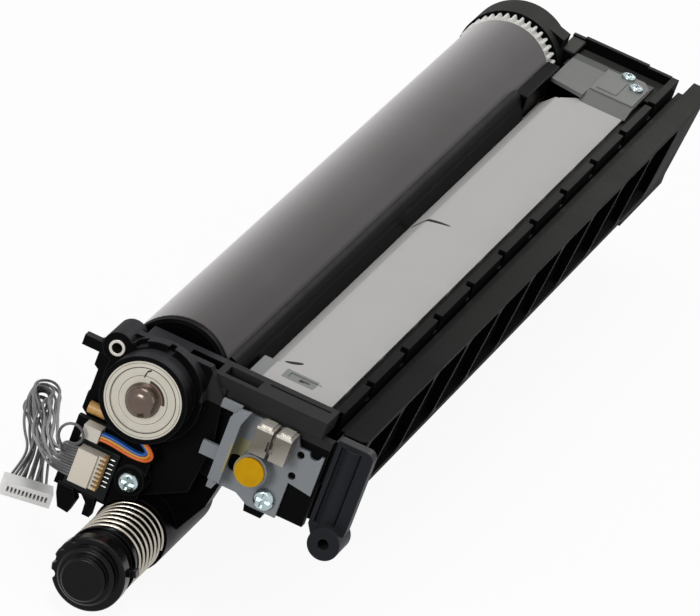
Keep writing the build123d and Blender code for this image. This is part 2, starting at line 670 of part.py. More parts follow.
def earth_plate():
    """The thin spring plate on the bridge, with a raised panel, held by the bridge's screws."""
    z = PLATE_Z + BRIDGE_RISE
    sheet = flat_plate([(EARTH_X0, BRIDGE_FOLD_Y + 1), (BRIDGE_X1 - 0.4, BRIDGE_FOLD_Y + 1),
                        (BRIDGE_X1 - 0.4, BRIDGE_Y1 - 5), (BRIDGE_X1 - 3, BRIDGE_Y1 - 0.5),
                        (EARTH_X0 + 4, BRIDGE_Y1 - 0.5), (EARTH_X0 + 4, BRIDGE_Y1 - 3),
                        (EARTH_X0, BRIDGE_Y1 - 3)], z, z + EARTH_PLATE)
    sheet += block(EARTH_X0 + 1.4, BRIDGE_X1 - 6.6, BRIDGE_FOLD_Y + 3.5, BRIDGE_Y1 - 8, z,
                   z + EARTH_PLATE + EARTH_PANEL)
    for x, y in bridge_screw_places():
        sheet -= Pos(x, y, z) * Cylinder(HOLE_R, 4)
    return sheet


# The front end
def end_outline():
    """The left part of the end wall, round the bearing, with its stepped left edge."""
    left, step = -18.2, 1.4
    return [(left, 5.0), (left, -1.5), (left + step, -2.4), (left + step, -8.6), (left + 1, -9.4),
            (left + 1, -14.4), (left + 3, -16.0), (left + 3.4, -30.0), (2.0, -33.0), (18.0, -24.0),
            (20.0, -8.0), (18.0, BAR_Z0), (12.0, 12.0), (-10.0, 12.0)]


def side_outline():
    """The right part of the end wall, behind the terminal bracket and its lobe."""
    low = AUGER_Z - AUGER_R - 1.8
    right = TOP_FLANGE_X0 - 0.5
    return [(12.0, low), (LOBE_X - 5.5, low), (LOBE_X - 4.5, LOBE_Z - 6.3), (LOBE_X + 0.6, LOBE_Z - 6.3),
            (LOBE_X + 1.4, LOBE_Z - 3.5), (right, LOBE_Z - 3.5), (right, BAR_Z0), (12.0, BAR_Z0)]


def hook(points):
    """One of the two hooks under the board carrier that hold the harness."""
    return section([(CARRIER_X0 + x, CARRIER_Z0 + z) for x, z in points], CARRIER_Y0 - 1.6, CARRIER_Y0 + 2)


def front_end():
    """The front end moulding: end wall, bearing collars, sleeve boss, ladder bar and board carrier."""
    body = section(end_outline(), END_Y0, END_Y1) + section(side_outline(), END_Y1, END_Y1 + END_WALL)
    body += bar(BACK_COLLAR_R, BACK_COLLAR_Y0, END_Y0)
    body += bar(NECK_R, 0, BACK_COLLAR_Y0) + bar(COLLAR_R, 0, COLLAR_LONG)
    body += bar(SLEEVE_BOSS_R, BACK_COLLAR_Y0, END_Y1 + 6, SLEEVE_X, SLEEVE_Z)
    fin = SLEEVE_X - SLEEVE_BOSS_R
    body += section([(fin - 5.7, 3.2), (fin + 1.3, 3.2), (fin + 1.3, 6.2), (fin - 5.7, 6.2)],
                    END_Y0 - 2, END_Y0 + 1)
    body += section([(fin - 3.7, 4.6), (fin + 5.3, 2.0), (fin + 5.3, 11.0)], END_Y0 - 1, END_Y0 + 1)
    body += ladder_bar()
    body += block(CARRIER_X0, CARRIER_X1, CARRIER_Y0, CARRIER_Y0 + 2, CARRIER_Z0, CARRIER_Z1)
    body += block(CARRIER_X0 + 2, CARRIER_X1 - 2, CARRIER_Y0 + 1, END_Y0 + 1, CARRIER_Z0 + 7, CARRIER_Z1 - 1)
    body += hook([(1.4, 1), (6.2, 1), (7.8, -2), (6.8, -6), (3.6, -5.6), (2.0, -2)])
    body += hook([(8.4, 1), (12.6, 1), (12.8, -4.6), (10.6, -4.6), (10.4, -1.0)])
    body += bar(POST_R, CARRIER_Y0 - 1.4, END_Y0 + 1, BOARD_SCREW_X, BOARD_SCREW_Z)
    body -= bar(BEARING_R, -1, BEARING_WIDTH)
    body -= bar(BEARING_R - 2.0, BEARING_WIDTH - 1, END_Y1 + 12)
    body -= bar(SLEEVE_R, BACK_COLLAR_Y0 - 1, BACK_COLLAR_Y0 + SLEEVE_LENGTH, SLEEVE_X, SLEEVE_Z)
    body -= bar(AUGER_SHAFT_R + RUNNING_GAP, END_Y1 + 1, END_Y1 + END_WALL + 1, AUGER_X, AUGER_Z)
    body += block(CHARGE_X - 5, CHARGE_X + 5, END_Y0 + 1, FRAME_Y0, CHARGE_Z - CHARGE_INNER - 3,
                  CHARGE_Z - CHARGE_SHAFT_R - 1)
    body -= bar(HOUSING_R, 0, FRAME_Y0 + 1, OUTLET_X, OUTLET_Z)
    body -= collar_windows()
    return body - bar(BOARD_SCREW_R, CARRIER_Y0 - 2, END_Y0 + 2, BOARD_SCREW_X, BOARD_SCREW_Z)


def collar_windows():
    """The square window and the round hole in the top of the back collar."""
    x, z = polar(BACK_COLLAR_R - 0.6, radians(122))
    window = Pos(x, BACK_COLLAR_Y0 + 1.4, z) * Rot(0, -32, 0) * Box(3.4, 2.8, 2.0)
    x, z = polar(BACK_COLLAR_R - 0.9, radians(86))
    return window + bar(1.2, BACK_COLLAR_Y0 - 1, BACK_COLLAR_Y0 + 2.5, x, z)


def ladder_bar():
    """The cross bar over the front end, with two open pockets in its top."""
    solid = block(BAR_X0, BAR_X1, BAR_Y0 - 2, FRAME_Y0, BAR_Z0, BAR_Z1)
    solid += block(BAR_X0, DRUM_R + 3, END_Y0 + 1, BAR_Y0, BAR_Z0 - 2, BAR_Z1 - 3)
    for x0, x1 in BAR_OPENINGS:
        solid -= block(x0, x1, BAR_Y0 + 0.4, FRAME_Y0 - 3.4, BAR_Z0 + 1.2, BAR_Z1 + 1)
    groove = block(BAR_OPENINGS[-1][1] + 2, BAR_X1 - 1.5, FRAME_Y0 - 4.2, FRAME_Y0 - 3.0,
                   BAR_Z1 - 1.6, BAR_Z1 + 1)
    return solid - groove


def locating_sleeve():
    """The steel bush in the front end that a pin of the machine enters."""
    return tube(SLEEVE_R, SLEEVE_BORE, BACK_COLLAR_Y0 - 0.6, BACK_COLLAR_Y0 + SLEEVE_LENGTH,
                SLEEVE_X, SLEEVE_Z)


def locating_arm():
    """The moulded arm beside the front end: a pocketed plate with a round rib that runs down
    to the hub for a pin of the machine."""
    y1 = ARM_Y0 + ARM_THICK
    foot = ARM_HUB_Z - 1.5
    outline = [(ARM_X0, ARM_Z1), (ARM_X1, ARM_Z1), (ARM_X1, ARM_HUB_Z + 4.5), (ARM_HUB_X + 3, foot),
               (ARM_HUB_X - 3, foot - 2), (ARM_X0, ARM_HUB_Z + 2.5)]
    body = section(outline, ARM_Y0, y1)
    corner = body.edges().filter_by(Axis.Y).sort_by(Axis.X)[-2:].sort_by(Axis.Z)[-1]
    body = fillet(corner, 2.5)
    body -= block(ARM_X0 + 1.2, ARM_X1 - 3.4, ARM_Y0 - 1, ARM_Y0 + ARM_POCKET, ARM_HUB_Z + 3.5, ARM_Z1 - 1.4)
    rib_x = ARM_X0 + 4.6
    high = ARM_Z1 - 1.4 - ARM_HUB_Z
    rib = Pos(rib_x, ARM_Y0 + ARM_POCKET + 0.2, ARM_HUB_Z + high / 2) * Cylinder(ARM_RIB_R, high)
    body += rib & block(ARM_X0, ARM_X1, ARM_Y0 - 3, ARM_Y0 + ARM_THICK - 0.5, ARM_HUB_Z, ARM_Z1)
    body += bar(ARM_HUB_R, ARM_Y0 - 3.5, y1 + 3, ARM_HUB_X, ARM_HUB_Z)
    body += block(ARM_X0 - 1.4, ARM_X1 - 5.5, y1, FRAME_Y0, -8, TOP_FLANGE_Z - TOP_FLANGE_THICK)
    return body - bar(ARM_BORE, ARM_Y0 - 5, y1 - 1, ARM_HUB_X, ARM_HUB_Z)


# The rear end
def rear_box(inset):
    """The outline of the gear box behind the rear wall."""
    left, right = 3 - HOOD_R + inset, TOP_FLANGE_X0 - 2 - inset
    top = BAR_Z0 - 2 - inset
    return [(left, top), (left, REAR_BOX_Z + inset), (right, REAR_BOX_Z + inset), (right, top)]


def rear_end():
    """The rear end moulding: the hood behind the drum gear, the gear wall, the deck, the rear
    wall with its stepped top, and a block on the hood's shoulder."""
    y0 = FRAME_Y1
    behind = y0 + CAP_WALL
    wall = section(rear_box(0), y0, behind) + bar(HOOD_R, y0, behind)
    wall += block(CHARGE_X - 6, CHARGE_X + 6, y0, behind, CHARGE_Z - CHARGE_INNER - 5, CHARGE_Z - 3)
    hood = tube(HOOD_R, HOOD_R - HOOD_WALL, behind, HOOD_Y1)
    shell = section(rear_box(0), behind, CAP_Y1 - 4)
    inner = section(rear_box(WALL), behind - 0.1, CAP_Y1)
    core = bar(HOOD_R - HOOD_WALL, behind, CAP_Y1 + 1)
    shoulder = section([(5.6, 14.8), (13.4, 12.6), (13.4, 7.0), (5.6, 7.0)], y0 + 4, HOOD_Y1 - 1.5)
    deck = block(HOOD_R, RIDGE_X0 - 0.6, BRIDGE_Y0 + 18, REAR_WALL_Y0 + 1, BAR_Z0 - 2.2,
                 PLATE_Z + BRIDGE_RISE - PLATE)
    back = block(HOOD_R - 3.5, RIDGE_X0, REAR_WALL_Y0, REAR_WALL_Y0 + 2, REAR_BOX_Z + 4, REAR_WALL_Z)
    back += block(HOOD_R + 0.5, RIDGE_X0 - 8, REAR_WALL_Y0, REAR_WALL_Y0 + 2, REAR_WALL_Z - 1,
                  REAR_WALL_Z + 0.5)
    beside = deck + shoulder + back - bar(HOOD_R - 0.5, y0, CAP_Y1 + 1)
    body = wall + (shell - inner - core) + hood + beside
    body -= block(RIDGE_X0 - GAP, TOP_FLANGE_X0 + 6, y0 - 1, CAP_Y1 + 1, VALLEY_Z - GAP, REAR_WALL_Z + 1)
    body -= bar(SHAFT_R + 3, y0 - 1, behind + 1)
    body -= bar(IDLER_PIN_R, y0 - 1, behind + 2, IDLER_X, IDLER_Z)
    return body - bar(AUGER_SHAFT_R + RUNNING_GAP, y0 - 1, behind + 1, AUGER_X, AUGER_Z)


def rear_bush():
    """The plain bush that carries the shaft in the rear wall."""
    y0 = FRAME_Y1
    return (tube(SHAFT_R + 3, SHAFT_R + RUNNING_GAP, y0 - 0.4, y0 + CAP_WALL)
            + tube(SHAFT_R + 4.4, SHAFT_R + RUNNING_GAP, y0 + CAP_WALL, y0 + CAP_WALL + 1.4))


# The waste toner outlet
def duct_outline(inset):
    """The duct from the trough's front end down to the round housing."""
    reach = AUGER_R + TROUGH_GAP + WALL
    right, top = AUGER_X + reach, AUGER_Z + reach
    points = [(AUGER_X - 9, top), (right, top), (right, AUGER_Z - 5), (AUGER_X - 2.5, AUGER_Z - 9.5),
              (AUGER_X - 4.1, AUGER_Z - 17.3), (OUTLET_X + 9.8, OUTLET_Z + 3),
              (OUTLET_X - 9.2, OUTLET_Z + 3.6), (OUTLET_X - 2.7, OUTLET_Z + 14.6)]
    face = profile(points)
    return offset(face, -inset) if inset else face


def outlet_housing():
    """The round housing under the front end and the duct that feeds it from the trough."""
    y1 = HOUSING_Y1
    round_part = bar(HOUSING_R, HOUSING_Y0, y1, OUTLET_X, OUTLET_Z)
    round_part = fillet(round_part.edges().sort_by(Axis.Y)[-1], 3)
    y0 = END_Y1 + END_WALL
    duct = run(duct_outline(0), y0, FRAME_Y0 - 0.2) - run(duct_outline(WALL), y0 + WALL, FRAME_Y0 + 1)
    body = round_part + duct
    body -= bar(OUTLET_R - OUTLET_WALL, HOUSING_Y0 - 1, y1 - 3, OUTLET_X, OUTLET_Z)
    body -= block(OUTLET_X - 1.7, OUTLET_X + 5.3, y0 + 2, FRAME_Y0 - 2, OUTLET_Z, OUTLET_Z + 5.6)
    body -= bar(AUGER_SHAFT_R + RUNNING_GAP, y0 - 1, y0 + WALL + 1, AUGER_X, AUGER_Z)
    ribs = []
    for i in range(4):
        x = OUTLET_X + 0.3 + 3.0 * i
        ribs.append(block(x, x + 0.8, FRAME_Y0 - 0.2, FRAME_Y0 + 8, OUTLET_Z + 6, OUTLET_Z + 11.6 + 2.6 * i))
    return body + ribs


def outlet_tube():
    """The fixed tube that the shutter slides on, shut in front, with a slot underneath."""
    bore = OUTLET_R - OUTLET_WALL
    body = bar(bore, TUBE_Y0, HOUSING_Y0 + 8, OUTLET_X, OUTLET_Z)
    body -= bar(bore - 1.2, TUBE_Y0 + 1.4, HOUSING_Y0 + 9, OUTLET_X, OUTLET_Z)
    return body - outlet_slot(SLOT_Y0)


def outlet_slot(y0):
    """The slot that lets the toner fall, cut from a tube's underside."""
    return block(OUTLET_X - SLOT_WIDE / 2, OUTLET_X + SLOT_WIDE / 2, y0, y0 + SLOT_LONG,
                 OUTLET_Z - OUTLET_R - 3, OUTLET_Z)


def shutter():
    """The sliding cap: a sleeve with a slot below, a flange with notches and a lug, and a
    stepped nose."""
    sleeve = OUTLET_R - 0.2
    bore = OUTLET_R - OUTLET_WALL + RUNNING_GAP
    step_y = CAP_FRONT_Y + 2.3
    body = turned([(0, CAP_FRONT_Y), (CAP_DISC_R - 0.5, CAP_FRONT_Y), (CAP_DISC_R, CAP_FRONT_Y + 0.5),
                   (CAP_DISC_R, step_y), (CAP_STEP_R - 0.6, step_y), (CAP_STEP_R, step_y + 0.6),
                   (CAP_STEP_R, CAP_FLANGE_Y0), (CAP_FLANGE_R - 0.3, CAP_FLANGE_Y0),
                   (CAP_FLANGE_R, CAP_FLANGE_Y0 + 0.3), (CAP_FLANGE_R, CAP_FLANGE_Y1),
                   (sleeve, CAP_FLANGE_Y1), (sleeve, SPRING_Y0 - 1), (SPRING_R + 0.5, SPRING_Y0 - 1),
                   (SPRING_R + 0.5, SPRING_Y0), (sleeve, SPRING_Y0), (sleeve, SHUTTER_Y1),
                   (bore, SHUTTER_Y1), (bore, CAP_BACK_Y), (0, CAP_BACK_Y)], OUTLET_X, OUTLET_Z)
    body -= outlet_slot(SLOT_Y0 - SHUTTER_TRAVEL)
    for angle in (132, 156, 180, 204):
        x, z = polar(CAP_FLANGE_R + 0.2, radians(angle), OUTLET_X, OUTLET_Z)
        body -= bar(1.3, CAP_FLANGE_Y0 - 1, CAP_FLANGE_Y1 - 1.2, x, z)
    lug = block(OUTLET_R - 0.6, CAP_FLANGE_R + 1.8, CAP_FLANGE_Y1 - 0.4, CAP_FLANGE_Y1 + 2.6, -1.0, 1.0)
    return body + Pos(OUTLET_X, 0, OUTLET_Z) * Rot(0, -LUG_ANGLE, 0) * lug


def shutter_spring():
    """The coil spring between the shutter and the housing."""
    long = HOUSING_Y0 - SPRING_Y0 - SPRING_WIRE
    path = Helix(long / SPRING_TURNS, long, SPRING_R)
    wire = sweep(Plane(path @ 0, z_dir=path % 0) * Circle(SPRING_WIRE / 2), path=path)
    return Pos(OUTLET_X, SPRING_Y0 + SPRING_WIRE / 2, OUTLET_Z) * Rot(-90, 0, 0) * wire


# The terminal bracket
def terminal_bracket():
    """The moulded grey bracket on the end wall, with its forward wing, two tabs and a lobe
    for its screw."""
    y1 = END_Y1
    y0 = y1 - BRACKET_THICK
    left, right, low = BRACKET_X0, BRACKET_X1, AUGER_Z - 7.8
    lobe_low = LOBE_Z - 3.9
    body = section([(left, 4), (CONTACT_X + 4.9, 4), (CONTACT_X + 6.4, 0.9), (right, 0.9), (right, -10.8),
                    (LOBE_X + 4.4, -9.8), (LOBE_X + 4.4, lobe_low), (LOBE_X - 4, lobe_low), (LOBE_X - 8, low),
                    (left, low)], y0, y1)
    body += section([(left, low + 3.2), (left + 3.4, low + 3.2), (left + 3.4, 2.5), (left + 4.8, 6.4),
                     (left + 1.6, 6.0), (left, 3.4)], y1 - BRACKET_WING, y1 - BRACKET_WING + 2.2)
    body += block(left, left + 1.6, y1 - BRACKET_WING + 2, y1, low, 4)
    body += block(left - 4.0, left + 1.7, y1 - 5.6, y1 - 4.2, 4.0, 6.4)
    body += block(left - 5.0, left + 0.5, y1 - 6.4, y1 - 5.0, -10.6, -6.6)
    body += bar(MARK_R + 0.6, y1 - BRACKET_WING + 1, y1, MARK_X, MARK_Z)
    for x, z in ((LOBE_X + 5, -1.0), (LOBE_X + 4.7, -7.6)):
        body -= bar(1.1, y0 - 1, y1 + 1, x, z)
    body -= bar(1.7, y0 - 1, y1 + 1, right - 2.6, 0.9)
    body -= bar(HOLE_R, y0 - 1, y1 + 1, LOBE_X, LOBE_Z)
    return body - bar(AUGER_SHAFT_R + 0.5, y0 - 1, y1 + 1, AUGER_X, AUGER_Z)


def contact_block():
    """The plated contact pair in the bracket, with its two bright tabs on top."""
    y1 = END_Y1 - BRACKET_THICK
    y0 = y1 - CONTACT_DEEP
    mid = CONTACT_X
    body = block(mid - 5.2, mid - 0.4, y0, y1, -3.5, 4.6) + block(mid + 0.6, mid + 5.2, y0, y1, -3.5, 4.6)
    body += block(mid - 4.6, mid + 4.6, y0 + 2, y1, -2.5, 3.6)
    body += block(mid - 4.4, mid - 1.2, y0 + 1, y1 - 1, 4.6, 5.2)
    body += block(mid + 1.4, mid + 4.4, y0 + 1, y1 - 1, 4.6, 5.2)
    return body - block(mid - 1.0, mid + 1.2, y0 - 1, y0 + 1.5, -1.5, 1.5)


def colour_mark():
    """The round mark that tells the units of a set apart."""
    y0 = END_Y1 - BRACKET_WING
    return bar(MARK_R, y0, y0 + 1, MARK_X, MARK_Z)


def screw(radius, shank, y0, depth, x, z):
    """A pan head screw along Y, with a cross recess; y0 is the face that its head bears on."""
    tall = 0.62 * radius
    head = bar(radius, y0 - tall, y0, x, z)
    head = fillet(head.edges().filter_by(GeomType.CIRCLE).sort_by(Axis.Y)[0], 0.7 * tall)
    for size in ((0.7 * radius, 0.16 * radius), (0.16 * radius, 0.7 * radius)):
        head -= block(x - size[0], x + size[0], y0 - tall - 1, y0 - 0.45 * tall, z - size[1], z + size[1])
    return head + bar(shank, y0, y0 + depth, x, z)


def end_screws():
    """The screws of the control board's post and of the terminal bracket."""
    y1 = END_Y1 - BRACKET_THICK
    shank = HOLE_R - RUNNING_GAP
    return Compound(children=[
        screw(2.9, shank, CARRIER_Y0 - 1.4, 6, BOARD_SCREW_X, BOARD_SCREW_Z),
        screw(3.1, shank, y1, BRACKET_THICK, LOBE_X, LOBE_Z)])


def holder_screws():
    """The two screws that hold the earth plate and the bridge, upright on the plate."""
    screws = []
    for x, y in bridge_screw_places():
        screws.append(Pos(x, y, PLATE_Z + BRIDGE_RISE + EARTH_PLATE) * Rot(-90, 0, 0)
                      * screw(2.2, HOLE_R - RUNNING_GAP, 0, EARTH_PLATE + PLATE, 0, 0))
    return Compound(children=screws)


# The control board
def control_board():
    y1 = CARRIER_Y0
    return block(BOARD_X0, BOARD_X1, y1 - BOARD_THICK, y1, BOARD_Z0, BOARD_Z1)


def board_connector():
    """The wire-side connector on the board: its wires leave it to the left."""
    y1 = CARRIER_Y0 - BOARD_THICK
    y0 = y1 - SOCKET_HIGH
    body = block(SOCKET_X0, SOCKET_X1 - 2.3, y0, y1, SOCKET_Z0, SOCKET_Z1)
    body += block(SOCKET_X1 - 2.3, SOCKET_X1, y0 + 0.8, y1, SOCKET_Z0, SOCKET_Z1)
    pitch = (SOCKET_Z1 - SOCKET_Z0) / (SOCKET_WAYS + 0.7)
    for i in range(SOCKET_WAYS):
        z = SOCKET_Z0 + pitch * (i + 0.9)
        body -= block(SOCKET_X1 - 1.6, SOCKET_X1 + 1, y0, y0 + 3, z - 0.35, z + 0.35)
    return body


def lamp_connector():
    """The small two-way connector of the erase lamp's leads."""
    x0, z = LEAD_START_X - LAMP_SOCKET_LONG, LAMP_SOCKET_Z
    body = block(x0, LEAD_START_X, CARRIER_Y0 - 4.2, CARRIER_Y0, z - 1.9, z + 2.0)
    return body - block(LEAD_START_X - 1.3, LEAD_START_X + 1, CARRIER_Y0 - 3.7, CARRIER_Y0 - 1.5,
                        z - 1.4, z + 1.3)


def ceramic_capacitor():
    radius = 1.75
    return Pos(-12.4, END_Y0 - radius, -12.4) * Rot(0, 90, 0) * Cylinder(radius, 5.4)


def lead(nest, column):
    """One lead of the lamp: out of its connector, along the wall and back up to the collar's neck."""
    y = CARRIER_Y0 - 3.1 + LEAD_PITCH * column
    end_x = 2.2 + 1.2 * nest
    end_z = -sqrt((NECK_R + 0.15) ** 2 - end_x ** 2)
    points = ((LEAD_START_X - 1.2, y, -16.25 - 0.82 * nest), (-4.5, y, -16.5 - LEAD_PITCH * nest),
              (1.0 + 0.6 * nest, y, -18.4 - 1.1 * nest), (3.6 + 1.3 * nest, y, -17.2 - 0.3 * nest),
              (end_x, y, end_z))
    path = FilletPolyline(*points, radius=1.0)
    return sweep(Plane(path @ 0, z_dir=path % 0) * Circle(LEAD_R), path=path)


def leads(name):
    return Compound(children=[lead(nest, column) for nest, column in LEADS[name]])


# The harness
def corner_radii(points):
    """The radius of each arc: as large as its two runs allow."""
    radii = []
    for a, b, c in zip(points, points[1:], points[2:]):
        first, second = Vector(*b) - Vector(*a), Vector(*c) - Vector(*b)
        half = radians(first.get_angle(second)) / 2
        radii.append(0.45 * min(first.length, second.length) / tan(half))
    return radii


def harness_bundle():
    """The loose grey wires as one round bundle."""
    radii = corner_radii(HARNESS_ROUTE)
    path = FilletPolyline(*HARNESS_ROUTE, radius=radii)
    body = sweep(Plane(path @ 0, z_dir=path % 0) * Circle(BUNDLE_R), path=path)
    expected = pi * BUNDLE_R ** 2 * path.length
    print("harness length", round(path.length, 1), "volume share", round(body.volume / expected, 3))
    print("tightest radius", round(min(radii), 1))
    return body


def harness_plug():
    """The flat plug on the harness's free end, with its row of ways."""
    x, y, z = HARNESS_ROUTE[-1]
    toward = Vector(x, y) - Vector(*HARNESS_ROUTE[-2][:2])
    turn = degrees(atan2(toward.Y, toward.X)) + 90
    body = Pos(0, -PLUG_DEEP / 2, 0) * Box(PLUG_WIDE, PLUG_DEEP, PLUG_HIGH)
    for i in range(PLUG_WAYS):
        slot_x = (i - (PLUG_WAYS - 1) / 2) * (PLUG_WIDE - 2) / PLUG_WAYS
        body -= Pos(slot_x, -PLUG_DEEP, 0) * Box(0.7, 5, 1.6)
    return Pos(x, y, FLOOR_Z + PLUG_HIGH / 2 + 0.05) * Rot(0, 0, turn) * body


NODES = {
    "drum_tube": drum_tube, "drum_front_flange": drum_front_flange, "drum_gear": drum_gear,
    "drum_shaft": drum_shaft, "bearing_inner_ring": bearing_inner_ring,
    "bearing_outer_ring": bearing_outer_ring, "bearing_balls": bearing_balls,
    "bearing_shield": bearing_shield, "drive_coupling": drive_coupling,
    "charge_roller": charge_roller, "charge_shaft": charge_shaft, "charge_gear": charge_gear,
    "charge_housing": charge_housing, "auger_shaft": auger_shaft, "auger": auger,
    "auger_gear": auger_gear, "idler_gear": idler_gear, "idler_pin": idler_pin,
    "side_frame": side_frame, "recovery_seal": recovery_seal, "blade_holder": blade_holder,
    "cleaning_blade": cleaning_blade, "guard_strip": guard_strip, "rear_bridge": rear_bridge,
    "earth_plate": earth_plate, "front_end": front_end, "locating_sleeve": locating_sleeve,
    "locating_arm": locating_arm,
    "rear_end": rear_end, "rear_bush": rear_bush, "outlet_housing": outlet_housing,
    "outlet_tube": outlet_tube, "shutter": shutter, "shutter_spring": shutter_spring,
    "terminal_bracket": terminal_bracket, "contact_block": contact_block,
    "colour_mark": colour_mark, "end_screws": end_screws, "holder_screws": holder_screws,
    "control_board": control_board, "board_connector": board_connector,
    "lamp_connector": lamp_connector, "ceramic_capacitor": ceramic_capacitor,
    "harness_bundle": harness_bundle, "harness_plug": harness_plug,
}

os.makedirs("parts", exist_ok=True)
for name, make in NODES.items():
    export_step(make(), f"parts/{name}.step")
for name in LEADS:
    export_step(leads(name), f"parts/{name}.step")
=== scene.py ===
"""A printer drum unit: a coated drum in a long black moulded frame, with its blade holder,
front bearing, sprung waste toner outlet, terminal bracket, small board and loose harness."""

import math
import random

import bpy
from mathutils import Matrix, Vector


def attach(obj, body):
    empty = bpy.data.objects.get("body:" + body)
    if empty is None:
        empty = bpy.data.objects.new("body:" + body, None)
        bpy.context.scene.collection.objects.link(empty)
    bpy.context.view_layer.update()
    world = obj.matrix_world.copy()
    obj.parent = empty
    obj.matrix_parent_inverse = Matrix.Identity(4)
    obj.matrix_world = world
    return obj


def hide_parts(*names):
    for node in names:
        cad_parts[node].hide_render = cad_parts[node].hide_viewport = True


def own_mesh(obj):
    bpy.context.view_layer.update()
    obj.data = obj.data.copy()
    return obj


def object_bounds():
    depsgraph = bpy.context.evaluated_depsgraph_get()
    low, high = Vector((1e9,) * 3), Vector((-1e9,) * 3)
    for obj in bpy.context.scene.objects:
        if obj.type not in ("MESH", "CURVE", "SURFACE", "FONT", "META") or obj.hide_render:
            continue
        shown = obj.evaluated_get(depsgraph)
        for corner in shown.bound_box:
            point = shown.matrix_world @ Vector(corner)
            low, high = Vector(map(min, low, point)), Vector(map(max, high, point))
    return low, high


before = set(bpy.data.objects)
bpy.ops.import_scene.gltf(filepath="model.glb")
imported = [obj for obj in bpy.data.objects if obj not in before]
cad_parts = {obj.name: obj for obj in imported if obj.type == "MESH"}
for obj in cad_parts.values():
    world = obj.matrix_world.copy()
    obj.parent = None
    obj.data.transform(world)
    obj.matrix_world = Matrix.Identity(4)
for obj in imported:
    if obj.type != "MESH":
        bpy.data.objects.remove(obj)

cad_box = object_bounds()
MM = 0.001

# The camera stands far off with a long lens, low over the unit's front right corner, and
# leans with the unit, as in the photograph.
CAMERA_PLACE = Vector((0.4391, -2.2745, 0.9781))
CAMERA_RIGHT = Vector((0.89620, 0.29220, 0.33384))
CAMERA_UP = Vector((-0.41419, 0.28140, 0.86560))
FOCAL_PIXELS = 9400.7
PICTURE_WIDTH = 700
SENSOR_WIDTH = 36
FAR_CLIP = 50

camera_data = bpy.data.cameras.new("camera")
camera_data.sensor_width = SENSOR_WIDTH
camera_data.lens = FOCAL_PIXELS / PICTURE_WIDTH * SENSOR_WIDTH
camera_data.clip_end = FAR_CLIP
camera = bpy.data.objects.new("camera", camera_data)
bpy.context.scene.collection.objects.link(camera)
camera_back = CAMERA_RIGHT.cross(CAMERA_UP)
camera_turn = Matrix((CAMERA_RIGHT, CAMERA_UP, camera_back)).transposed()
camera.matrix_world = Matrix.Translation(CAMERA_PLACE) @ camera_turn.to_4x4()
bpy.context.scene.camera = camera
bpy.context.scene.view_settings.view_transform = "Standard"

# The white ground: a floor at the unit's lowest point and a plain white world. The camera,
# and what metal mirrors, see them white, while the light on the unit stays plain.
GROUND_Z = cad_box[0].z
GROUND_MIDDLE_Y = 0.15
GROUND_SIZE = 8
GROUND_PALE = (0.9, 0.9, 0.9, 1)
GROUND_ROUGHNESS = 0.9
WHITE = (1, 1, 1, 1)
WORLD_LIGHT = 0.26
FLOOR_GLOW = 0.93


def put(tree, socket, value):
    """Sets a socket to a value, or links it to another socket."""
    if isinstance(value, (int, float, tuple)):
        socket.default_value = value
    else:
        tree.links.new(value, socket)


def maths(tree, operation, a, b=0.0, clamp=False):
    """The result of one Math node. An operation on one number takes no b."""
    node = tree.nodes.new("ShaderNodeMath")
    node.operation = operation
    node.use_clamp = clamp
    put(tree, node.inputs[0], a)
    put(tree, node.inputs[1], b)
    return node.outputs[0]


def seen_or_mirrored(tree):
    """1 for a ray that the camera sends, or a mirror, or clear glass; 0 for plain light."""
    path = tree.nodes.new("ShaderNodeLightPath").outputs
    mirrored = maths(tree, "MAXIMUM", path["Is Glossy Ray"], path["Is Transmission Ray"])
    return maths(tree, "MAXIMUM", path["Is Camera Ray"], mirrored)


def mixed_shader(tree, factor, first, second):
    """A mix of two shaders, by a share that is a number or a socket."""
    mix = tree.nodes.new("ShaderNodeMixShader")
    put(tree, mix.inputs[0], factor)
    tree.links.new(first.outputs[0], mix.inputs[1])
    tree.links.new(second.outputs[0], mix.inputs[2])
    return mix


world = bpy.data.worlds.new("studio")
bpy.context.scene.world = world
world.use_nodes = True
sky = world.node_tree
plain_light = sky.nodes["Background"]
plain_light.inputs["Color"].default_value = WHITE
plain_light.inputs["Strength"].default_value = WORLD_LIGHT
white_sky = sky.nodes.new("ShaderNodeBackground")
white_sky.inputs["Color"].default_value = WHITE
sky_mix = mixed_shader(sky, seen_or_mirrored(sky), plain_light, white_sky)
sky.links.new(sky_mix.outputs[0], sky.nodes["World Output"].inputs[0])

bpy.ops.object.select_all(action="DESELECT")
bpy.ops.mesh.primitive_plane_add(size=GROUND_SIZE, location=(0, GROUND_MIDDLE_Y, GROUND_Z))
floor = bpy.context.object
floor.name = "floor"
floor_material = bpy.data.materials.new("pale_floor")
floor_material.use_nodes = True
ground = floor_material.node_tree
ground_coat = ground.nodes["Principled BSDF"]
ground_coat.inputs["Base Color"].default_value = GROUND_PALE
ground_coat.inputs["Roughness"].default_value = GROUND_ROUGHNESS
ground_coat.inputs["Specular IOR Level"].default_value = 0.0
ground_white = ground.nodes.new("ShaderNodeEmission")
ground_seen = mixed_shader(ground, FLOOR_GLOW, ground_coat, ground_white)
ground_mix = mixed_shader(ground, seen_or_mirrored(ground), ground_coat, ground_seen)
ground.links.new(ground_mix.outputs[0], ground.nodes["Material Output"].inputs[0])
floor.data.materials.append(floor_material)

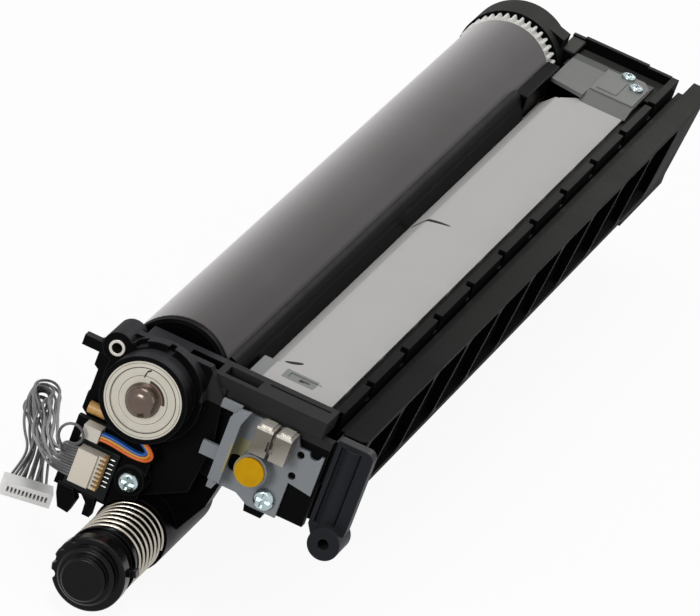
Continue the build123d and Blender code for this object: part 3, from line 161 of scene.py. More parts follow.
# Soft boxes: a large key overhead, a low one in front, and weak ones from the right and from
# behind, so that every side has some light. Each has a place, a target, a size and a power.
SOFT_BOXES = {
    "key": ((-0.25, 0.3, 1.6), (0, 0.17, 0), (0.7, 0.9), 12.5),
    "front": ((-0.35, -1.5, 0.45), (0, 0, 0), (0.5, 0.5), 12),
    "right": ((1.3, 0.1, 0.7), (0, 0.17, 0), (0.5, 0.8), 1.5),
    "behind": ((0.2, 1.7, 0.8), (0, 0.3, 0), (0.6, 0.5), 4),
}


def soft_box(name, place, target, size, power):
    """A rectangular area lamp that faces its target."""
    lamp = bpy.data.lights.new(name, "AREA")
    lamp.shape = "RECTANGLE"
    lamp.size, lamp.size_y = size
    lamp.energy = power
    holder = bpy.data.objects.new(name, lamp)
    bpy.context.scene.collection.objects.link(holder)
    direction = Vector(target) - Vector(place)
    holder.matrix_world = (Matrix.Translation(place)
                           @ direction.to_track_quat("-Z", "Y").to_matrix().to_4x4())


for name, (place, target, size, power) in SOFT_BOXES.items():
    soft_box(name, place, target, size, power)

# The harness: eleven thin grey wires, PVC over stranded copper, loose from the cream connector
# to a flat white plug. They leave it to the left, fall to the ground, run back, fold over and
# come forward again, with nothing to tie them. The middle route is in millimetres.
HARNESS_POINTS = [
    (-12.35, 4.7, -26.6), (-16.8, 4.8, -27.1), (-19.8, 12.8, -30.0), (-25.3, 29.0, -36.0),
    (-30.5, 47.0, -42.0), (-35.4, 67.0, -47.0), (-40.0, 85.8, -49.5), (-41.4, 93.6, -50.1),
    (-44.6, 97.2, -50.1), (-47.6, 93.2, -50.1), (-45.2, 85.1, -50.1), (-41.4, 75.3, -50.1),
    (-37.0, 65.3, -50.1), (-33.4, 55.0, -50.1), (-30.4, 43.2, -50.1), (-27.4, 29.0, -49.85)]
# How far the outermost wires stand from the middle one, sideways and up, at each point.
FAN_WIDTH = (0.0, 0.6, 1.8, 2.8, 3.2, 3.0, 1.8, 0.8, 0.6, 0.8, 1.8, 3.0, 3.4, 3.0, 3.6, 5.45)
FAN_HEIGHT = (4.3, 3.7, 2.8, 2.6, 2.6, 2.6, 2.4, 2.2, 2.2, 2.2, 2.4, 2.4, 2.2, 1.6, 0.8, 0.0)
# How far chance moves a whole wire sideways, and one of its points. A wire is in its row at the
# connector and the plug, and fully loose this many points away from them.
WIRE_DRIFT = 1.2
POINT_STRAY = 0.9
LOOSE_AFTER = 3
# How far a wire's fold may stand before or behind the middle one's.
FOLD_POINTS = (6, 7, 8, 9, 10)
FOLD_REACH = (-5.0, 2.5)
# One wire turns a small upright ring beside the connector on its way out.
RING_WIRE = 3
RING_AFTER = 1
RING_CENTRE = (-15.2, 1.2, -18.2)
RING_RADIUS = 3.4
RING_START_ANGLE = 250
RING_STEPS = 8
RING_ADVANCE = 0.5
WIRE_COUNT = 11
WIRE_DIAMETER = 0.8
WIRE_GREY = (0.070, 0.070, 0.072, 1)
WIRE_SHEEN = (0.145, 0.145, 0.148, 1)
PLUG_WHITE = (0.80, 0.79, 0.77, 1)
PLUG_PALE = (0.84, 0.84, 0.82, 1)


def sideways(points, i):
    """The level direction to the left of a route's run at one of its points."""
    a, b = Vector(points[max(i - 1, 0)]), Vector(points[min(i + 1, len(points) - 1)])
    along = b - a
    return Vector((-along.y, along.x, 0)).normalized()


def nurbs_wire(name, points, radius):
    """A round wire on one smooth spline, with its points in millimetres."""
    data = bpy.data.curves.new(name, "CURVE")
    data.dimensions = "3D"
    spline = data.splines.new("NURBS")
    spline.points.add(len(points) - 1)
    for control, place in zip(spline.points, points):
        control.co = (*(Vector(place) * MM), 1)
        control.radius = radius * MM
    spline.order_u = 3
    spline.use_endpoint_u = True
    spline.resolution_u = 8
    data.bevel_depth = 1
    data.bevel_resolution = 3
    data.use_fill_caps = True
    wire = bpy.data.objects.new(name, data)
    bpy.context.scene.collection.objects.link(wire)
    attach(wire, "frame")
    return wire


def line_length(wire):
    """The length down the middle of a wire, in metres."""
    depth, wire.data.bevel_depth = wire.data.bevel_depth, 0
    mesh = bpy.data.meshes.new_from_object(wire)
    wire.data.bevel_depth = depth
    places = [v.co.copy() for v in mesh.vertices]
    bpy.data.meshes.remove(mesh)
    return sum((b - a).length for a, b in zip(places, places[1:]))


def ring_points():
    """One turn of the upright ring, which moves rearward as it turns."""
    points = []
    for step in range(RING_STEPS + 1):
        angle = math.radians(RING_START_ANGLE - 360 * step / RING_STEPS)
        rearward = RING_ADVANCE * (step - RING_STEPS / 2)
        points.append(Vector(RING_CENTRE) + Vector(
            (RING_RADIUS * math.cos(angle), rearward, RING_RADIUS * math.sin(angle))))
    return points


def wire_route(number, chance):
    """A wire's points: the middle route, moved by the wire's place in the fan and by chance."""
    share = 2 * number / (WIRE_COUNT - 1) - 1
    lift = chance.uniform(-1, 1)
    drift = chance.uniform(-WIRE_DRIFT, WIRE_DRIFT)
    reach = chance.uniform(*FOLD_REACH)
    lowest = GROUND_Z / MM + WIRE_DIAMETER / 2
    route = []
    for i, point in enumerate(HARNESS_POINTS):
        loose = min(i, len(HARNESS_POINTS) - 1 - i, LOOSE_AFTER) / LOOSE_AFTER
        in_turn = i in FOLD_POINTS[1:-1]
        stray = 0 if in_turn else drift + chance.uniform(-POINT_STRAY, POINT_STRAY)
        spread = FAN_WIDTH[i] * share + stray * loose
        place = Vector(point) + sideways(HARNESS_POINTS, i) * spread
        if i in FOLD_POINTS:
            place.y += reach
        if i < LOOSE_AFTER:
            place.z -= share * FAN_HEIGHT[i]
        else:
            place.z = max(place.z + FAN_HEIGHT[i] * lift, lowest)
        route.append(place)
        if number == RING_WIRE and i == RING_AFTER:
            route.extend(ring_points())
    return route


fan = random.Random(11)
grey_wires = [nurbs_wire(f"grey_wire_{number + 1:02d}", wire_route(number, fan), WIRE_DIAMETER / 2)
              for number in range(WIRE_COUNT)]
for wire in grey_wires:
    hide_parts("harness_bundle")
    line_length(wire)

# What the surface groups' sockets carry.
COLOUR, NUMBER, VECTOR = "NodeSocketColor", "NodeSocketFloat", "NodeSocketVector"


def new_group(name, inputs, outputs):
    """An empty shader group with named sockets, its input node and its output node."""
    group = bpy.data.node_groups.new(name, "ShaderNodeTree")
    for label, kind, value in inputs:
        socket = group.interface.new_socket(label, in_out="INPUT", socket_type=kind)
        socket.default_value = value
    for label, kind in outputs:
        group.interface.new_socket(label, in_out="OUTPUT", socket_type=kind)
    return group, group.nodes.new("NodeGroupInput"), group.nodes.new("NodeGroupOutput")


def mix_colour(tree, factor, a, b):
    """Colour a where the factor is 0, and colour b where it is 1."""
    node = tree.nodes.new("ShaderNodeMix")
    node.data_type = "RGBA"
    put(tree, node.inputs["Factor"], factor)
    put(tree, node.inputs[6], a)
    put(tree, node.inputs[7], b)
    return node.outputs[2]


def noise(tree, place, scale, detail=2.0, roughness=0.5):
    """A cloudy pattern about 0.5."""
    node = tree.nodes.new("ShaderNodeTexNoise")
    put(tree, node.inputs["Vector"], place)
    put(tree, node.inputs["Scale"], scale)
    put(tree, node.inputs["Detail"], detail)
    put(tree, node.inputs["Roughness"], roughness)
    return node.outputs[0]


def object_place(tree):
    """The place on the object."""
    return tree.nodes.new("ShaderNodeTexCoord").outputs["Object"]


def ramp(tree, value, start, gain):
    """How far a value is over a start, times a gain, kept between 0 and 1."""
    return maths(tree, "MULTIPLY", maths(tree, "SUBTRACT", value, start), gain, clamp=True)


def wandering(tree, level, pattern, swing):
    """A level that swings about itself with a pattern, kept between 0 and 1."""
    offset = maths(tree, "MULTIPLY", maths(tree, "SUBTRACT", pattern, 0.5), swing)
    return maths(tree, "ADD", level, offset, clamp=True)


def soft_surface_group():
    """Soft PVC or rubber: two close shades in patches, and a roughness that wanders with them."""
    group, given, out = new_group(
        "soft_surface",
        (("Colour", COLOUR, (0.2, 0.2, 0.2, 1)), ("Second Colour", COLOUR, (0.3, 0.3, 0.3, 1)),
         ("Patch Scale", NUMBER, 120.0), ("Roughness", NUMBER, 0.4)),
        (("Colour", COLOUR), ("Roughness", NUMBER)))
    patches = noise(group, object_place(group), given.outputs["Patch Scale"], detail=3.0,
                    roughness=0.6)
    share = ramp(group, patches, start=0.35, gain=2.5)
    put(group, out.inputs["Colour"],
        mix_colour(group, share, given.outputs["Colour"], given.outputs["Second Colour"]))
    put(group, out.inputs["Roughness"],
        wandering(group, given.outputs["Roughness"], patches, swing=0.3))
    return group


SOFT_SURFACE = soft_surface_group()


def finish_of(name, group, values, specular=0.5, metallic=0.0):
    """A material that takes what its surface group puts out."""
    material = bpy.data.materials.new(name)
    material.use_nodes = True
    tree = material.node_tree
    shader = tree.nodes["Principled BSDF"]
    shader.inputs["Metallic"].default_value = metallic
    shader.inputs["Specular IOR Level"].default_value = specular
    surface = tree.nodes.new("ShaderNodeGroup")
    surface.name = "surface"
    surface.node_tree = group
    for label, value in values.items():
        surface.inputs[label].default_value = value
    for label, socket in (("Colour", "Base Color"), ("Roughness", "Roughness"),
                          ("Normal", "Normal")):
        if label in surface.outputs:
            tree.links.new(surface.outputs[label], shader.inputs[socket])
    return material


def soft_finish(name, colour, second, roughness, scale=120.0, specular=0.3):
    """A material of soft PVC, rubber, paint or lacquer."""
    return finish_of(name, SOFT_SURFACE, {"Colour": colour, "Second Colour": second,
                                          "Roughness": roughness, "Patch Scale": scale}, specular)


def dress(material, *names):
    """Puts a material on CAD nodes or on new pieces."""
    for name in names:
        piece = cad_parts.get(name) or bpy.data.objects[name]
        piece.data.materials.clear()
        piece.data.materials.append(material)


dress(soft_finish("wire_grey", WIRE_GREY, WIRE_SHEEN, 0.32), *[wire.name for wire in grey_wires])
dress(soft_finish("plug_white", PLUG_WHITE, PLUG_PALE, 0.45), "harness_plug")

# The lamp's leads: five thin PVC wires that leave the small white connector, sag to the right
# under the bearing in one loop, and go in behind its collar.
LEAD_RADIUS = 0.46
LEAD_PITCH = 0.95
LEAD_COLUMN_Y = 4.9
# The innermost lead's x and z at each point, and how far each lead outside it moves them.
LEAD_LOOP = (
    ((-9.5, -16.25), (0, -0.82)), ((-6.4, -15.9), (0, -0.8)), ((-2.6, -16.2), (0, -0.85)),
    ((1.4, -16.9), (0.3, -0.8)), ((4.2, -16.9), (0.9, -0.55)), ((5.4, -15.6), (0.9, -0.2)),
    ((4.3, -14.4), (0.8, 0)), ((2.6, -13.5), (0.8, 0.1)), ((1.6, -12.5), (0.8, 0.1)))
# Each node's leads, as places outward and rearward in the loop, its two shades and its slot.
LEAD_COLOURS = {
    "blue_leads": (((0, 0), (0, 1)), (0.008, 0.075, 0.33, 1), (0.015, 0.11, 0.42, 1), "wire_blue"),
    "yellow_lead": (((1, 0),), (0.55, 0.20, 0.012, 1), (0.62, 0.28, 0.02, 1), "wire_yellow"),
    "red_lead": (((1, 1),), (0.42, 0.035, 0.008, 1), (0.5, 0.06, 0.012, 1), "wire_red"),
    "orange_lead": (((2, 0),), (0.60, 0.085, 0.008, 1), (0.66, 0.13, 0.015, 1), "wire_orange"),
}


def lead_route(nest, column):
    """A lead's points: nest 0 is the innermost loop."""
    y = LEAD_COLUMN_Y + LEAD_PITCH * column
    return [(x + out_x * nest, y, z + out_z * nest) for (x, z), (out_x, out_z) in LEAD_LOOP]


for node, (places, colour, second, slot) in LEAD_COLOURS.items():
    lead_finish = soft_finish(slot, colour, second, 0.3, specular=0.4)
    for nest, column in places:
        lead = nurbs_wire(f"{node}_{nest + 1}{column + 1}", lead_route(nest, column), LEAD_RADIUS)
        lead.data.materials.append(lead_finish)
        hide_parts(node)

# The long frame: one black ABS moulding, with its upper flange, upstanding rail and ribbed side
# wall. Faces that look up are painted greyer, partly as dust and partly as a painted sheen for
# the light on their fine grain, and more so towards the rear.
FRAME_BLACK = (0.0022, 0.0022, 0.0024, 1)
FRAME_DUST_AND_SHEEN = (0.040, 0.040, 0.037, 1)
FRAME_DUST_AND_SHEEN_FRONT = (0.0050, 0.0050, 0.0050, 1)
DUST_AND_SHEEN_FULL_Y = 0.30
DUST_AND_SHEEN_POWER = 1.5
FRAME_EDGE = (0.030, 0.030, 0.030, 1)
# How fast a rounded edge and its rubbed patches show, the least dust and painted sheen, and
# the grain's depth.
EDGE_GAIN = 6.0
RUB_GAIN = 1.4
DUST_AND_SHEEN_LEAST = 0.35
GRAIN_DEPTH = 0.00004


def axis_place(tree):
    """The three parts of a place on the object."""
    split = tree.nodes.new("ShaderNodeSeparateXYZ")
    tree.links.new(object_place(tree), split.inputs[0])
    return split.outputs


def vector_maths(tree, operation, a, b):
    """A Vector Math node with its two inputs."""
    node = tree.nodes.new("ShaderNodeVectorMath")
    node.operation = operation
    put(tree, node.inputs[0], a)
    put(tree, node.inputs[1], b)
    return node


def dot_product(tree, a, b):
    """How far two directions agree."""
    return vector_maths(tree, "DOT_PRODUCT", a, b).outputs["Value"]


def rounded_normal(tree, radius):
    """The normal with its edges rounded off."""
    rounded = tree.nodes.new("ShaderNodeBevel")
    rounded.samples = 4
    put(tree, rounded.inputs["Radius"], radius)
    return rounded.outputs[0]


def bumped(tree, height, strength, distance, normal):
    """A normal roughened by a height pattern."""
    bump = tree.nodes.new("ShaderNodeBump")
    bump.inputs["Distance"].default_value = distance
    put(tree, bump.inputs["Strength"], strength)
    put(tree, bump.inputs["Height"], height)
    put(tree, bump.inputs["Normal"], normal)
    return bump.outputs[0]


def moulded_group():
    """Moulded plastic: eroded grain, softened and rubbed edges, dust and a painted sheen on what
    looks up.
    """
    group, given, out = new_group(
        "moulded_surface",
        (("Colour", COLOUR, (0.01, 0.01, 0.01, 1)), ("Dust And Sheen Colour", COLOUR, (0.05, 0.05, 0.05, 1)),
         ("Edge Colour", COLOUR, (0.03, 0.03, 0.03, 1)), ("Roughness", NUMBER, 0.5),
         ("Grain Scale", NUMBER, 2200.0), ("Grain", NUMBER, 0.25),
         ("Edge Radius", NUMBER, 0.00035)),
        (("Colour", COLOUR), ("Roughness", NUMBER), ("Normal", VECTOR)))
    place = object_place(group)
    rounded = rounded_normal(group, given.outputs["Edge Radius"])
    flat = group.nodes.new("ShaderNodeNewGeometry").outputs["Normal"]
    unbent = dot_product(group, rounded, flat)
    bend = maths(group, "MULTIPLY", maths(group, "SUBTRACT", 1.0, unbent), EDGE_GAIN, clamp=True)
    patches = noise(group, place, scale=90.0, detail=3.0, roughness=0.6)
    rubbed = maths(group, "MULTIPLY", bend, maths(group, "MULTIPLY", patches, RUB_GAIN, clamp=True))
    # Faces that look up take the dust colour: dust, and also a painted sheen for the light they
    # catch.
    upward = ramp(group, dot_product(group, flat, (0, 0, 1)), start=0.55, gain=3.0)
    cloud = noise(group, place, scale=45.0, detail=4.0, roughness=0.7)
    dust_and_sheen_mask = maths(group, "MULTIPLY", upward, maths(group, "ADD", cloud, DUST_AND_SHEEN_LEAST, clamp=True))
    colour = mix_colour(group, dust_and_sheen_mask, given.outputs["Colour"], given.outputs["Dust And Sheen Colour"])
    put(group, out.inputs["Colour"],
        mix_colour(group, rubbed, colour, given.outputs["Edge Colour"]))
    put(group, out.inputs["Roughness"],
        wandering(group, given.outputs["Roughness"], patches, swing=0.2))
    grain = noise(group, place, given.outputs["Grain Scale"], detail=1.0)
    put(group, out.inputs["Normal"],
        bumped(group, grain, given.outputs["Grain"], GRAIN_DEPTH, rounded))
    return group


MOULDED = moulded_group()


def moulding(name, colour, dust, edge, roughness, specular=0.012, **values):
    """A material of moulded plastic."""
    return finish_of(name, MOULDED, {"Colour": colour, "Dust And Sheen Colour": dust, "Edge Colour": edge,
                                     "Roughness": roughness, **values}, specular)


frame_black = moulding("frame_black", FRAME_BLACK, FRAME_DUST_AND_SHEEN, FRAME_EDGE, 0.5)
frame_tree = frame_black.node_tree
# Up faces are painted greyer towards the rear, as dust and painted sheen.
rearward = maths(frame_tree, "DIVIDE", axis_place(frame_tree)[1], DUST_AND_SHEEN_FULL_Y, clamp=True)
dust_and_sheen_share = maths(frame_tree, "POWER", rearward, DUST_AND_SHEEN_POWER)
put(frame_tree, frame_tree.nodes["surface"].inputs["Dust And Sheen Colour"],
    mix_colour(frame_tree, dust_and_sheen_share, FRAME_DUST_AND_SHEEN_FRONT, FRAME_DUST_AND_SHEEN))
dress(frame_black, "side_frame")

# The charge roller: conductive rubber on a ground steel shaft, in a black channel under the
# drum, with a thin film at the channel's lip.
DEEP_BLACK = (0.0015, 0.0015, 0.0016, 1)
# On faces that look up, these deep black parts take a colour of dust and painted sheen.
DEEP_DUST_AND_SHEEN = (0.008, 0.008, 0.008, 1)
RUBBER_BLACK = (0.012, 0.012, 0.013, 1)
RUBBER_WORN = (0.022, 0.021, 0.02, 1)
GROUND_STEEL = (0.58, 0.53, 0.50, 1)
STEEL_STAIN = (0.40, 0.32, 0.28, 1)
# The scale of a metal's lines along x, y and z, their depth, and how far its edges are rounded.
ROUND_LINES = (60.0, 900.0, 60.0)
EVEN_LINES = (200.0, 200.0, 200.0)
LINE_DEPTH = 0.00003
METAL_EDGE = 0.0002


def metal_group():
    """Worked metal: fine lines, cloudy tarnish and softened edges."""
    group, given, out = new_group(
        "worked_metal",
        (("Colour", COLOUR, (0.6, 0.6, 0.6, 1)), ("Tarnish", COLOUR, (0.4, 0.38, 0.35, 1)),
         ("Roughness", NUMBER, 0.3), ("Line Scale", VECTOR, (400.0, 8.0, 400.0)),
         ("Lines", NUMBER, 0.15), ("Cloud Scale", NUMBER, 60.0)),
        (("Colour", COLOUR), ("Roughness", NUMBER), ("Normal", VECTOR)))
    place = object_place(group)
    stretched = vector_maths(group, "MULTIPLY", place, given.outputs["Line Scale"]).outputs[0]
    lines = noise(group, stretched, scale=12.0, detail=3.0, roughness=0.6)
    clouds = noise(group, place, given.outputs["Cloud Scale"], detail=4.0, roughness=0.6)
    cloudy = ramp(group, clouds, start=0.42, gain=1.8)
    put(group, out.inputs["Colour"],
        mix_colour(group, cloudy, given.outputs["Colour"], given.outputs["Tarnish"]))
    put(group, out.inputs["Roughness"],
        wandering(group, given.outputs["Roughness"], lines, swing=0.25))
    rounded = rounded_normal(group, METAL_EDGE)
    put(group, out.inputs["Normal"],
        bumped(group, lines, given.outputs["Lines"], LINE_DEPTH, rounded))
    return group


METAL = metal_group()


def metal(name, colour, tarnish, roughness, lines, depth=0.15, metallic=1.0, specular=0.5,
          clouds=60.0):
    """A material of worked metal, or of a coated one where metallic is low."""
    return finish_of(name, METAL, {"Colour": colour, "Tarnish": tarnish, "Roughness": roughness,
                                   "Line Scale": lines, "Lines": depth, "Cloud Scale": clouds},
                     specular, metallic)


dress(moulding("channel_black", DEEP_BLACK, DEEP_DUST_AND_SHEEN, FRAME_EDGE, 0.5), "charge_housing")
dress(soft_finish("roller_rubber", RUBBER_BLACK, RUBBER_WORN, 0.6, scale=200.0, specular=0.2),
      "charge_roller", "recovery_seal")
dress(metal("ground_steel", GROUND_STEEL, STEEL_STAIN, 0.3, ROUND_LINES), "charge_shaft",
      "auger_shaft", "idler_pin")

# The waste toner worm, moulded on its steel shaft, and the gears that drive it and the charge
# roller: acetal, white for the large ones and black for the roller's.
GEAR_WHITE = (0.80, 0.79, 0.76, 1)
GEAR_EDGE = (0.74, 0.73, 0.70, 1)

dress(moulding("worm_black", DEEP_BLACK, DEEP_DUST_AND_SHEEN, FRAME_EDGE, 0.4), "auger", "charge_gear")
dress(moulding("white_acetal", GEAR_WHITE, GEAR_WHITE, GEAR_EDGE, 0.42, specular=0.1, Grain=0.05),
      "idler_gear", "auger_gear", "drum_gear", "drive_coupling")

# The blade holder: a long folded steel plate with a matt zinc finish, a tab at its front and a
# sunk panel with a small slot; the panel and the slot are painted darker, as painted shade. Two
# short dark strokes are marked on its upper face.
PLATE_ZINC = (0.475, 0.467, 0.457, 1)
PLATE_CLOUD = (0.455, 0.452, 0.440, 1)
TAB_GREY = (0.25, 0.258, 0.258, 1)
PANEL_PAINTED_SHADE = (0.24, 0.25, 0.24, 1)
STROKE_AND_SHADE_BLACK = (0.02, 0.018, 0.018, 1)
PLATE_LINES = (8.0, 2.0, 8.0)
TAB_RIGHT_X = 0.0215
TAB_REAR_Y = 0.0505
PANEL_X, PANEL_Y = (0.0252, 0.0348), (0.0414, 0.0482)
# A stroke has a start, an end, half its greatest width, and how far its middle bends aside.
PANEL_SLOT_SHADE = ((0.0299, 0.0438, 0), (0.0313, 0.0445, 0), 0.00055, 0.0)
PLATE_STROKES = (((0.0231, 0.0517, 0), (0.0274, 0.0557, 0), 0.00085, -0.0003),
                 ((0.0187, 0.1883, 0), (0.0284, 0.1940, 0), 0.00095, 0.0009))
STROKE_TAPER = 0.4


def above(tree, value, limit):
    """1 where a value is above a limit."""
    return maths(tree, "GREATER_THAN", value, limit)


def below(tree, value, limit):
    """1 where a value is below a limit."""
    return maths(tree, "LESS_THAN", value, limit)


def both(tree, first, second):
    """1 where two masks are 1."""
    return maths(tree, "MULTIPLY", first, second)


def within(tree, value, low, high):
    """1 where a value is between two limits."""
    return both(tree, above(tree, value, low), below(tree, value, high))


def stroke_group():
    """A mask of 1 on a bent, tapering stroke between two places, seen along one axis."""
    group, given, out = new_group(
        "stroke_mask",
        (("Place", VECTOR, (0.0, 0.0, 0.0)), ("Start", VECTOR, (0.0, 0.0, 0.0)),
         ("End", VECTOR, (0.001, 0.0, 0.0)), ("Half Width", NUMBER, 0.0004),
         ("Bend", NUMBER, 0.0), ("Axis", VECTOR, (0.0, 0.0, 1.0))),
        (("Mask", NUMBER),))
    start = given.outputs["Start"]
    from_start = vector_maths(group, "SUBTRACT", given.outputs["Place"], start).outputs[0]
    run = vector_maths(group, "SUBTRACT", given.outputs["End"], start).outputs[0]
    across = vector_maths(group, "CROSS_PRODUCT", given.outputs["Axis"], run).outputs[0]
    run_square = dot_product(group, run, run)
    along = maths(group, "DIVIDE", dot_product(group, from_start, run), run_square)
    inside = maths(group, "MULTIPLY", along, maths(group, "SUBTRACT", 1.0, along))
    arch = maths(group, "MULTIPLY", inside, 4.0)
    aside = maths(group, "DIVIDE", dot_product(group, from_start, across),
                  maths(group, "SQRT", run_square))
    bent = maths(group, "SUBTRACT", aside,
                 maths(group, "MULTIPLY", given.outputs["Bend"], arch))
    taper = maths(group, "POWER", maths(group, "MAXIMUM", arch, 0.0), STROKE_TAPER)
    width = maths(group, "MULTIPLY", given.outputs["Half Width"], taper)
    close = below(group, maths(group, "ABSOLUTE", bent), width)
    put(group, out.inputs["Mask"], both(group, close, above(group, inside, 0.0)))
    return group


STROKE = stroke_group()


def stroke_mask(tree, start, end, half_width, bend, axis=(0.0, 0.0, 1.0)):
    """1 on one stroke of a material."""
    stroke = tree.nodes.new("ShaderNodeGroup")
    stroke.node_tree = STROKE
    tree.links.new(object_place(tree), stroke.inputs["Place"])
    for label, value in (("Start", start), ("End", end), ("Half Width", half_width),
                         ("Bend", bend), ("Axis", axis)):
        stroke.inputs[label].default_value = value
    return stroke.outputs[0]


def paint_over(material, mask, colour):
    """Lays a colour over what a material's Base Color has, where the mask is 1."""
    tree = material.node_tree
    target = tree.nodes["Principled BSDF"].inputs["Base Color"]
    under = target.links[0].from_socket
    put(tree, target, mix_colour(tree, mask, under, colour))


zinc_plate = metal("zinc_plate", PLATE_ZINC, PLATE_CLOUD, 0.55, PLATE_LINES, depth=0.05,
                   metallic=0.05, specular=0.04, clouds=14.0)
plate_tree = zinc_plate.node_tree
plate_x, plate_y, _ = axis_place(plate_tree)
on_tab = both(plate_tree, below(plate_tree, plate_x, TAB_RIGHT_X),
              below(plate_tree, plate_y, TAB_REAR_Y))
in_panel = both(plate_tree, within(plate_tree, plate_x, *PANEL_X),
                within(plate_tree, plate_y, *PANEL_Y))
paint_over(zinc_plate, on_tab, TAB_GREY)
paint_over(zinc_plate, in_panel, PANEL_PAINTED_SHADE)
# The two strokes are real marks; the dark dot on the panel's slot is painted shade.
for stroke in (*PLATE_STROKES, PANEL_SLOT_SHADE):
    paint_over(zinc_plate, stroke_mask(plate_tree, *stroke), STROKE_AND_SHADE_BLACK)
dress(zinc_plate, "blade_holder")

# The blade and the guard strip: urethane rubber glued under the holder, and a smooth black
# strip between the holder and the drum.
BLADE_AMBER = (0.16, 0.10, 0.05, 1)
BLADE_DEEP = (0.12, 0.07, 0.035, 1)
STRIP_BLACK = (0.0020, 0.0020, 0.0022, 1)
# The strip's faces that look up, and its edges, take a colour of dust and painted sheen.
STRIP_DUST_AND_SHEEN = (0.0028, 0.0028, 0.0028, 1)
# The strip's rear end, between two corners in millimetres, and how far its top leans left.
TAIL_LOW, TAIL_HIGH = (15.7, 306.5, 1.0), (17.2, 342.5, 9.2)
TAIL_LEAN = -2.6
TAIL_EDGE = 0.4


def cut_block(name, low, high, edge):
    """A block between two corners in millimetres, with its edges broken, fixed to the frame."""
    bpy.ops.object.select_all(action="DESELECT")
    centre = [(a + b) / 2 * MM for a, b in zip(low, high)]
    bpy.ops.mesh.primitive_cube_add(size=1, location=centre)
    piece = bpy.context.object
    piece.name = name
    piece.scale = [(b - a) * MM for a, b in zip(low, high)]
    bpy.ops.object.transform_apply(location=True, rotation=True, scale=True)
    bpy.ops.object.modifier_add(type="BEVEL")
    piece.modifiers[0].width = edge * MM
    piece.modifiers[0].segments = 3
    bpy.ops.object.modifier_apply(modifier=piece.modifiers[0].name)
    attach(piece, "frame")
    return piece


def lean_top(piece, shift):
    """Slides a block's top left edge sideways, by millimetres."""
    bpy.context.view_layer.objects.active = piece
    bpy.ops.object.mode_set(mode="EDIT")
    bpy.ops.mesh.select_all(action="DESELECT")
    bpy.ops.object.mode_set(mode="OBJECT")
    middle = sum((v.co for v in piece.data.vertices), Vector()) / len(piece.data.vertices)
    for vertex in piece.data.vertices:
        vertex.select = vertex.co.z > middle.z and vertex.co.x < middle.x
    bpy.ops.object.mode_set(mode="EDIT")
    bpy.ops.transform.translate(value=(shift * MM, 0, 0))
    bpy.ops.object.mode_set(mode="OBJECT")


dress(soft_finish("blade_rubber", BLADE_AMBER, BLADE_DEEP, 0.4, scale=60.0), "cleaning_blade")
guard_tail = cut_block("guard_tail", TAIL_LOW, TAIL_HIGH, TAIL_EDGE)
lean_top(guard_tail, TAIL_LEAN)
dress(moulding("strip_black", STRIP_BLACK, STRIP_DUST_AND_SHEEN, STRIP_DUST_AND_SHEEN, 0.3, specular=0.01),
      "guard_strip", "guard_tail")

# The drum: an aluminium tube with a thin grey organic coating, on black end pieces and a steel
# shaft whose domed nose stands out of the front bearing. Seen edge on, the coating is painted
# paler, a painted reflection of the white surroundings.
DRUM_GREY = (0.098, 0.089, 0.091, 1)
DRUM_WARM = (0.091, 0.082, 0.083, 1)
DRUM_PAINTED_REFLECTION = (0.80, 0.78, 0.78, 1)
DRUM_LINES = (2.0, 2.0, 2.0)
REFLECTION_START = 0.58
REFLECTION_POWER = 1.3
NOSE_STEEL = (0.105, 0.072, 0.055, 1)
NOSE_STAIN = (0.070, 0.046, 0.034, 1)

coated_drum = metal("coated_drum", DRUM_GREY, DRUM_WARM, 0.5, DRUM_LINES, depth=0.02,
                    metallic=0.0, specular=0.02, clouds=6.0)
drum_tree = coated_drum.node_tree
# Seen edge on, the coating's colour is mixed toward pale: a painted reflection.
edge_on = drum_tree.nodes.new("ShaderNodeLayerWeight").outputs["Facing"]
reflection_share = maths(drum_tree, "DIVIDE", maths(drum_tree, "SUBTRACT", edge_on, REFLECTION_START),
                   1 - REFLECTION_START, clamp=True)
paint_over(coated_drum, maths(drum_tree, "POWER", reflection_share, REFLECTION_POWER), DRUM_PAINTED_REFLECTION)
dress(coated_drum, "drum_tube")
dress(moulding("flange_black", DEEP_BLACK, DEEP_DUST_AND_SHEEN, FRAME_EDGE, 0.4), "drum_front_flange",
      "rear_bush")
dress(metal("nose_steel", NOSE_STEEL, NOSE_STAIN, 0.2, EVEN_LINES, depth=0.1, metallic=0.55,
            specular=1.0, clouds=250.0), "drum_shaft")

# The front end: one glass-filled black moulding with the bearing's collars, the ladder bar and
# the board's carrier. A turned steel sleeve is pressed in its left boss, and an arm with a
# locating hub is screwed to its right.
END_BLACK = (0.0030, 0.0031, 0.0034, 1)
# On faces that look up, the front end takes a colour of dust and painted sheen.
END_DUST_AND_SHEEN = (0.034, 0.034, 0.037, 1)
END_EDGE = (0.050, 0.051, 0.056, 1)
ARM_BLACK = (0.0150, 0.0165, 0.0195, 1)
# The ladder bar is painted grey over the black: painted light for the light its faces catch.
BAR_PAINTED_LIGHT = (0.026, 0.026, 0.027, 1)
BAR_LEFT_X = 0.0130
BAR_LOW_Z = 0.0030
BAR_REAR_Y = 0.0270
SLEEVE_STEEL = (0.62, 0.60, 0.55, 1)
SLEEVE_DULL = (0.36, 0.33, 0.28, 1)

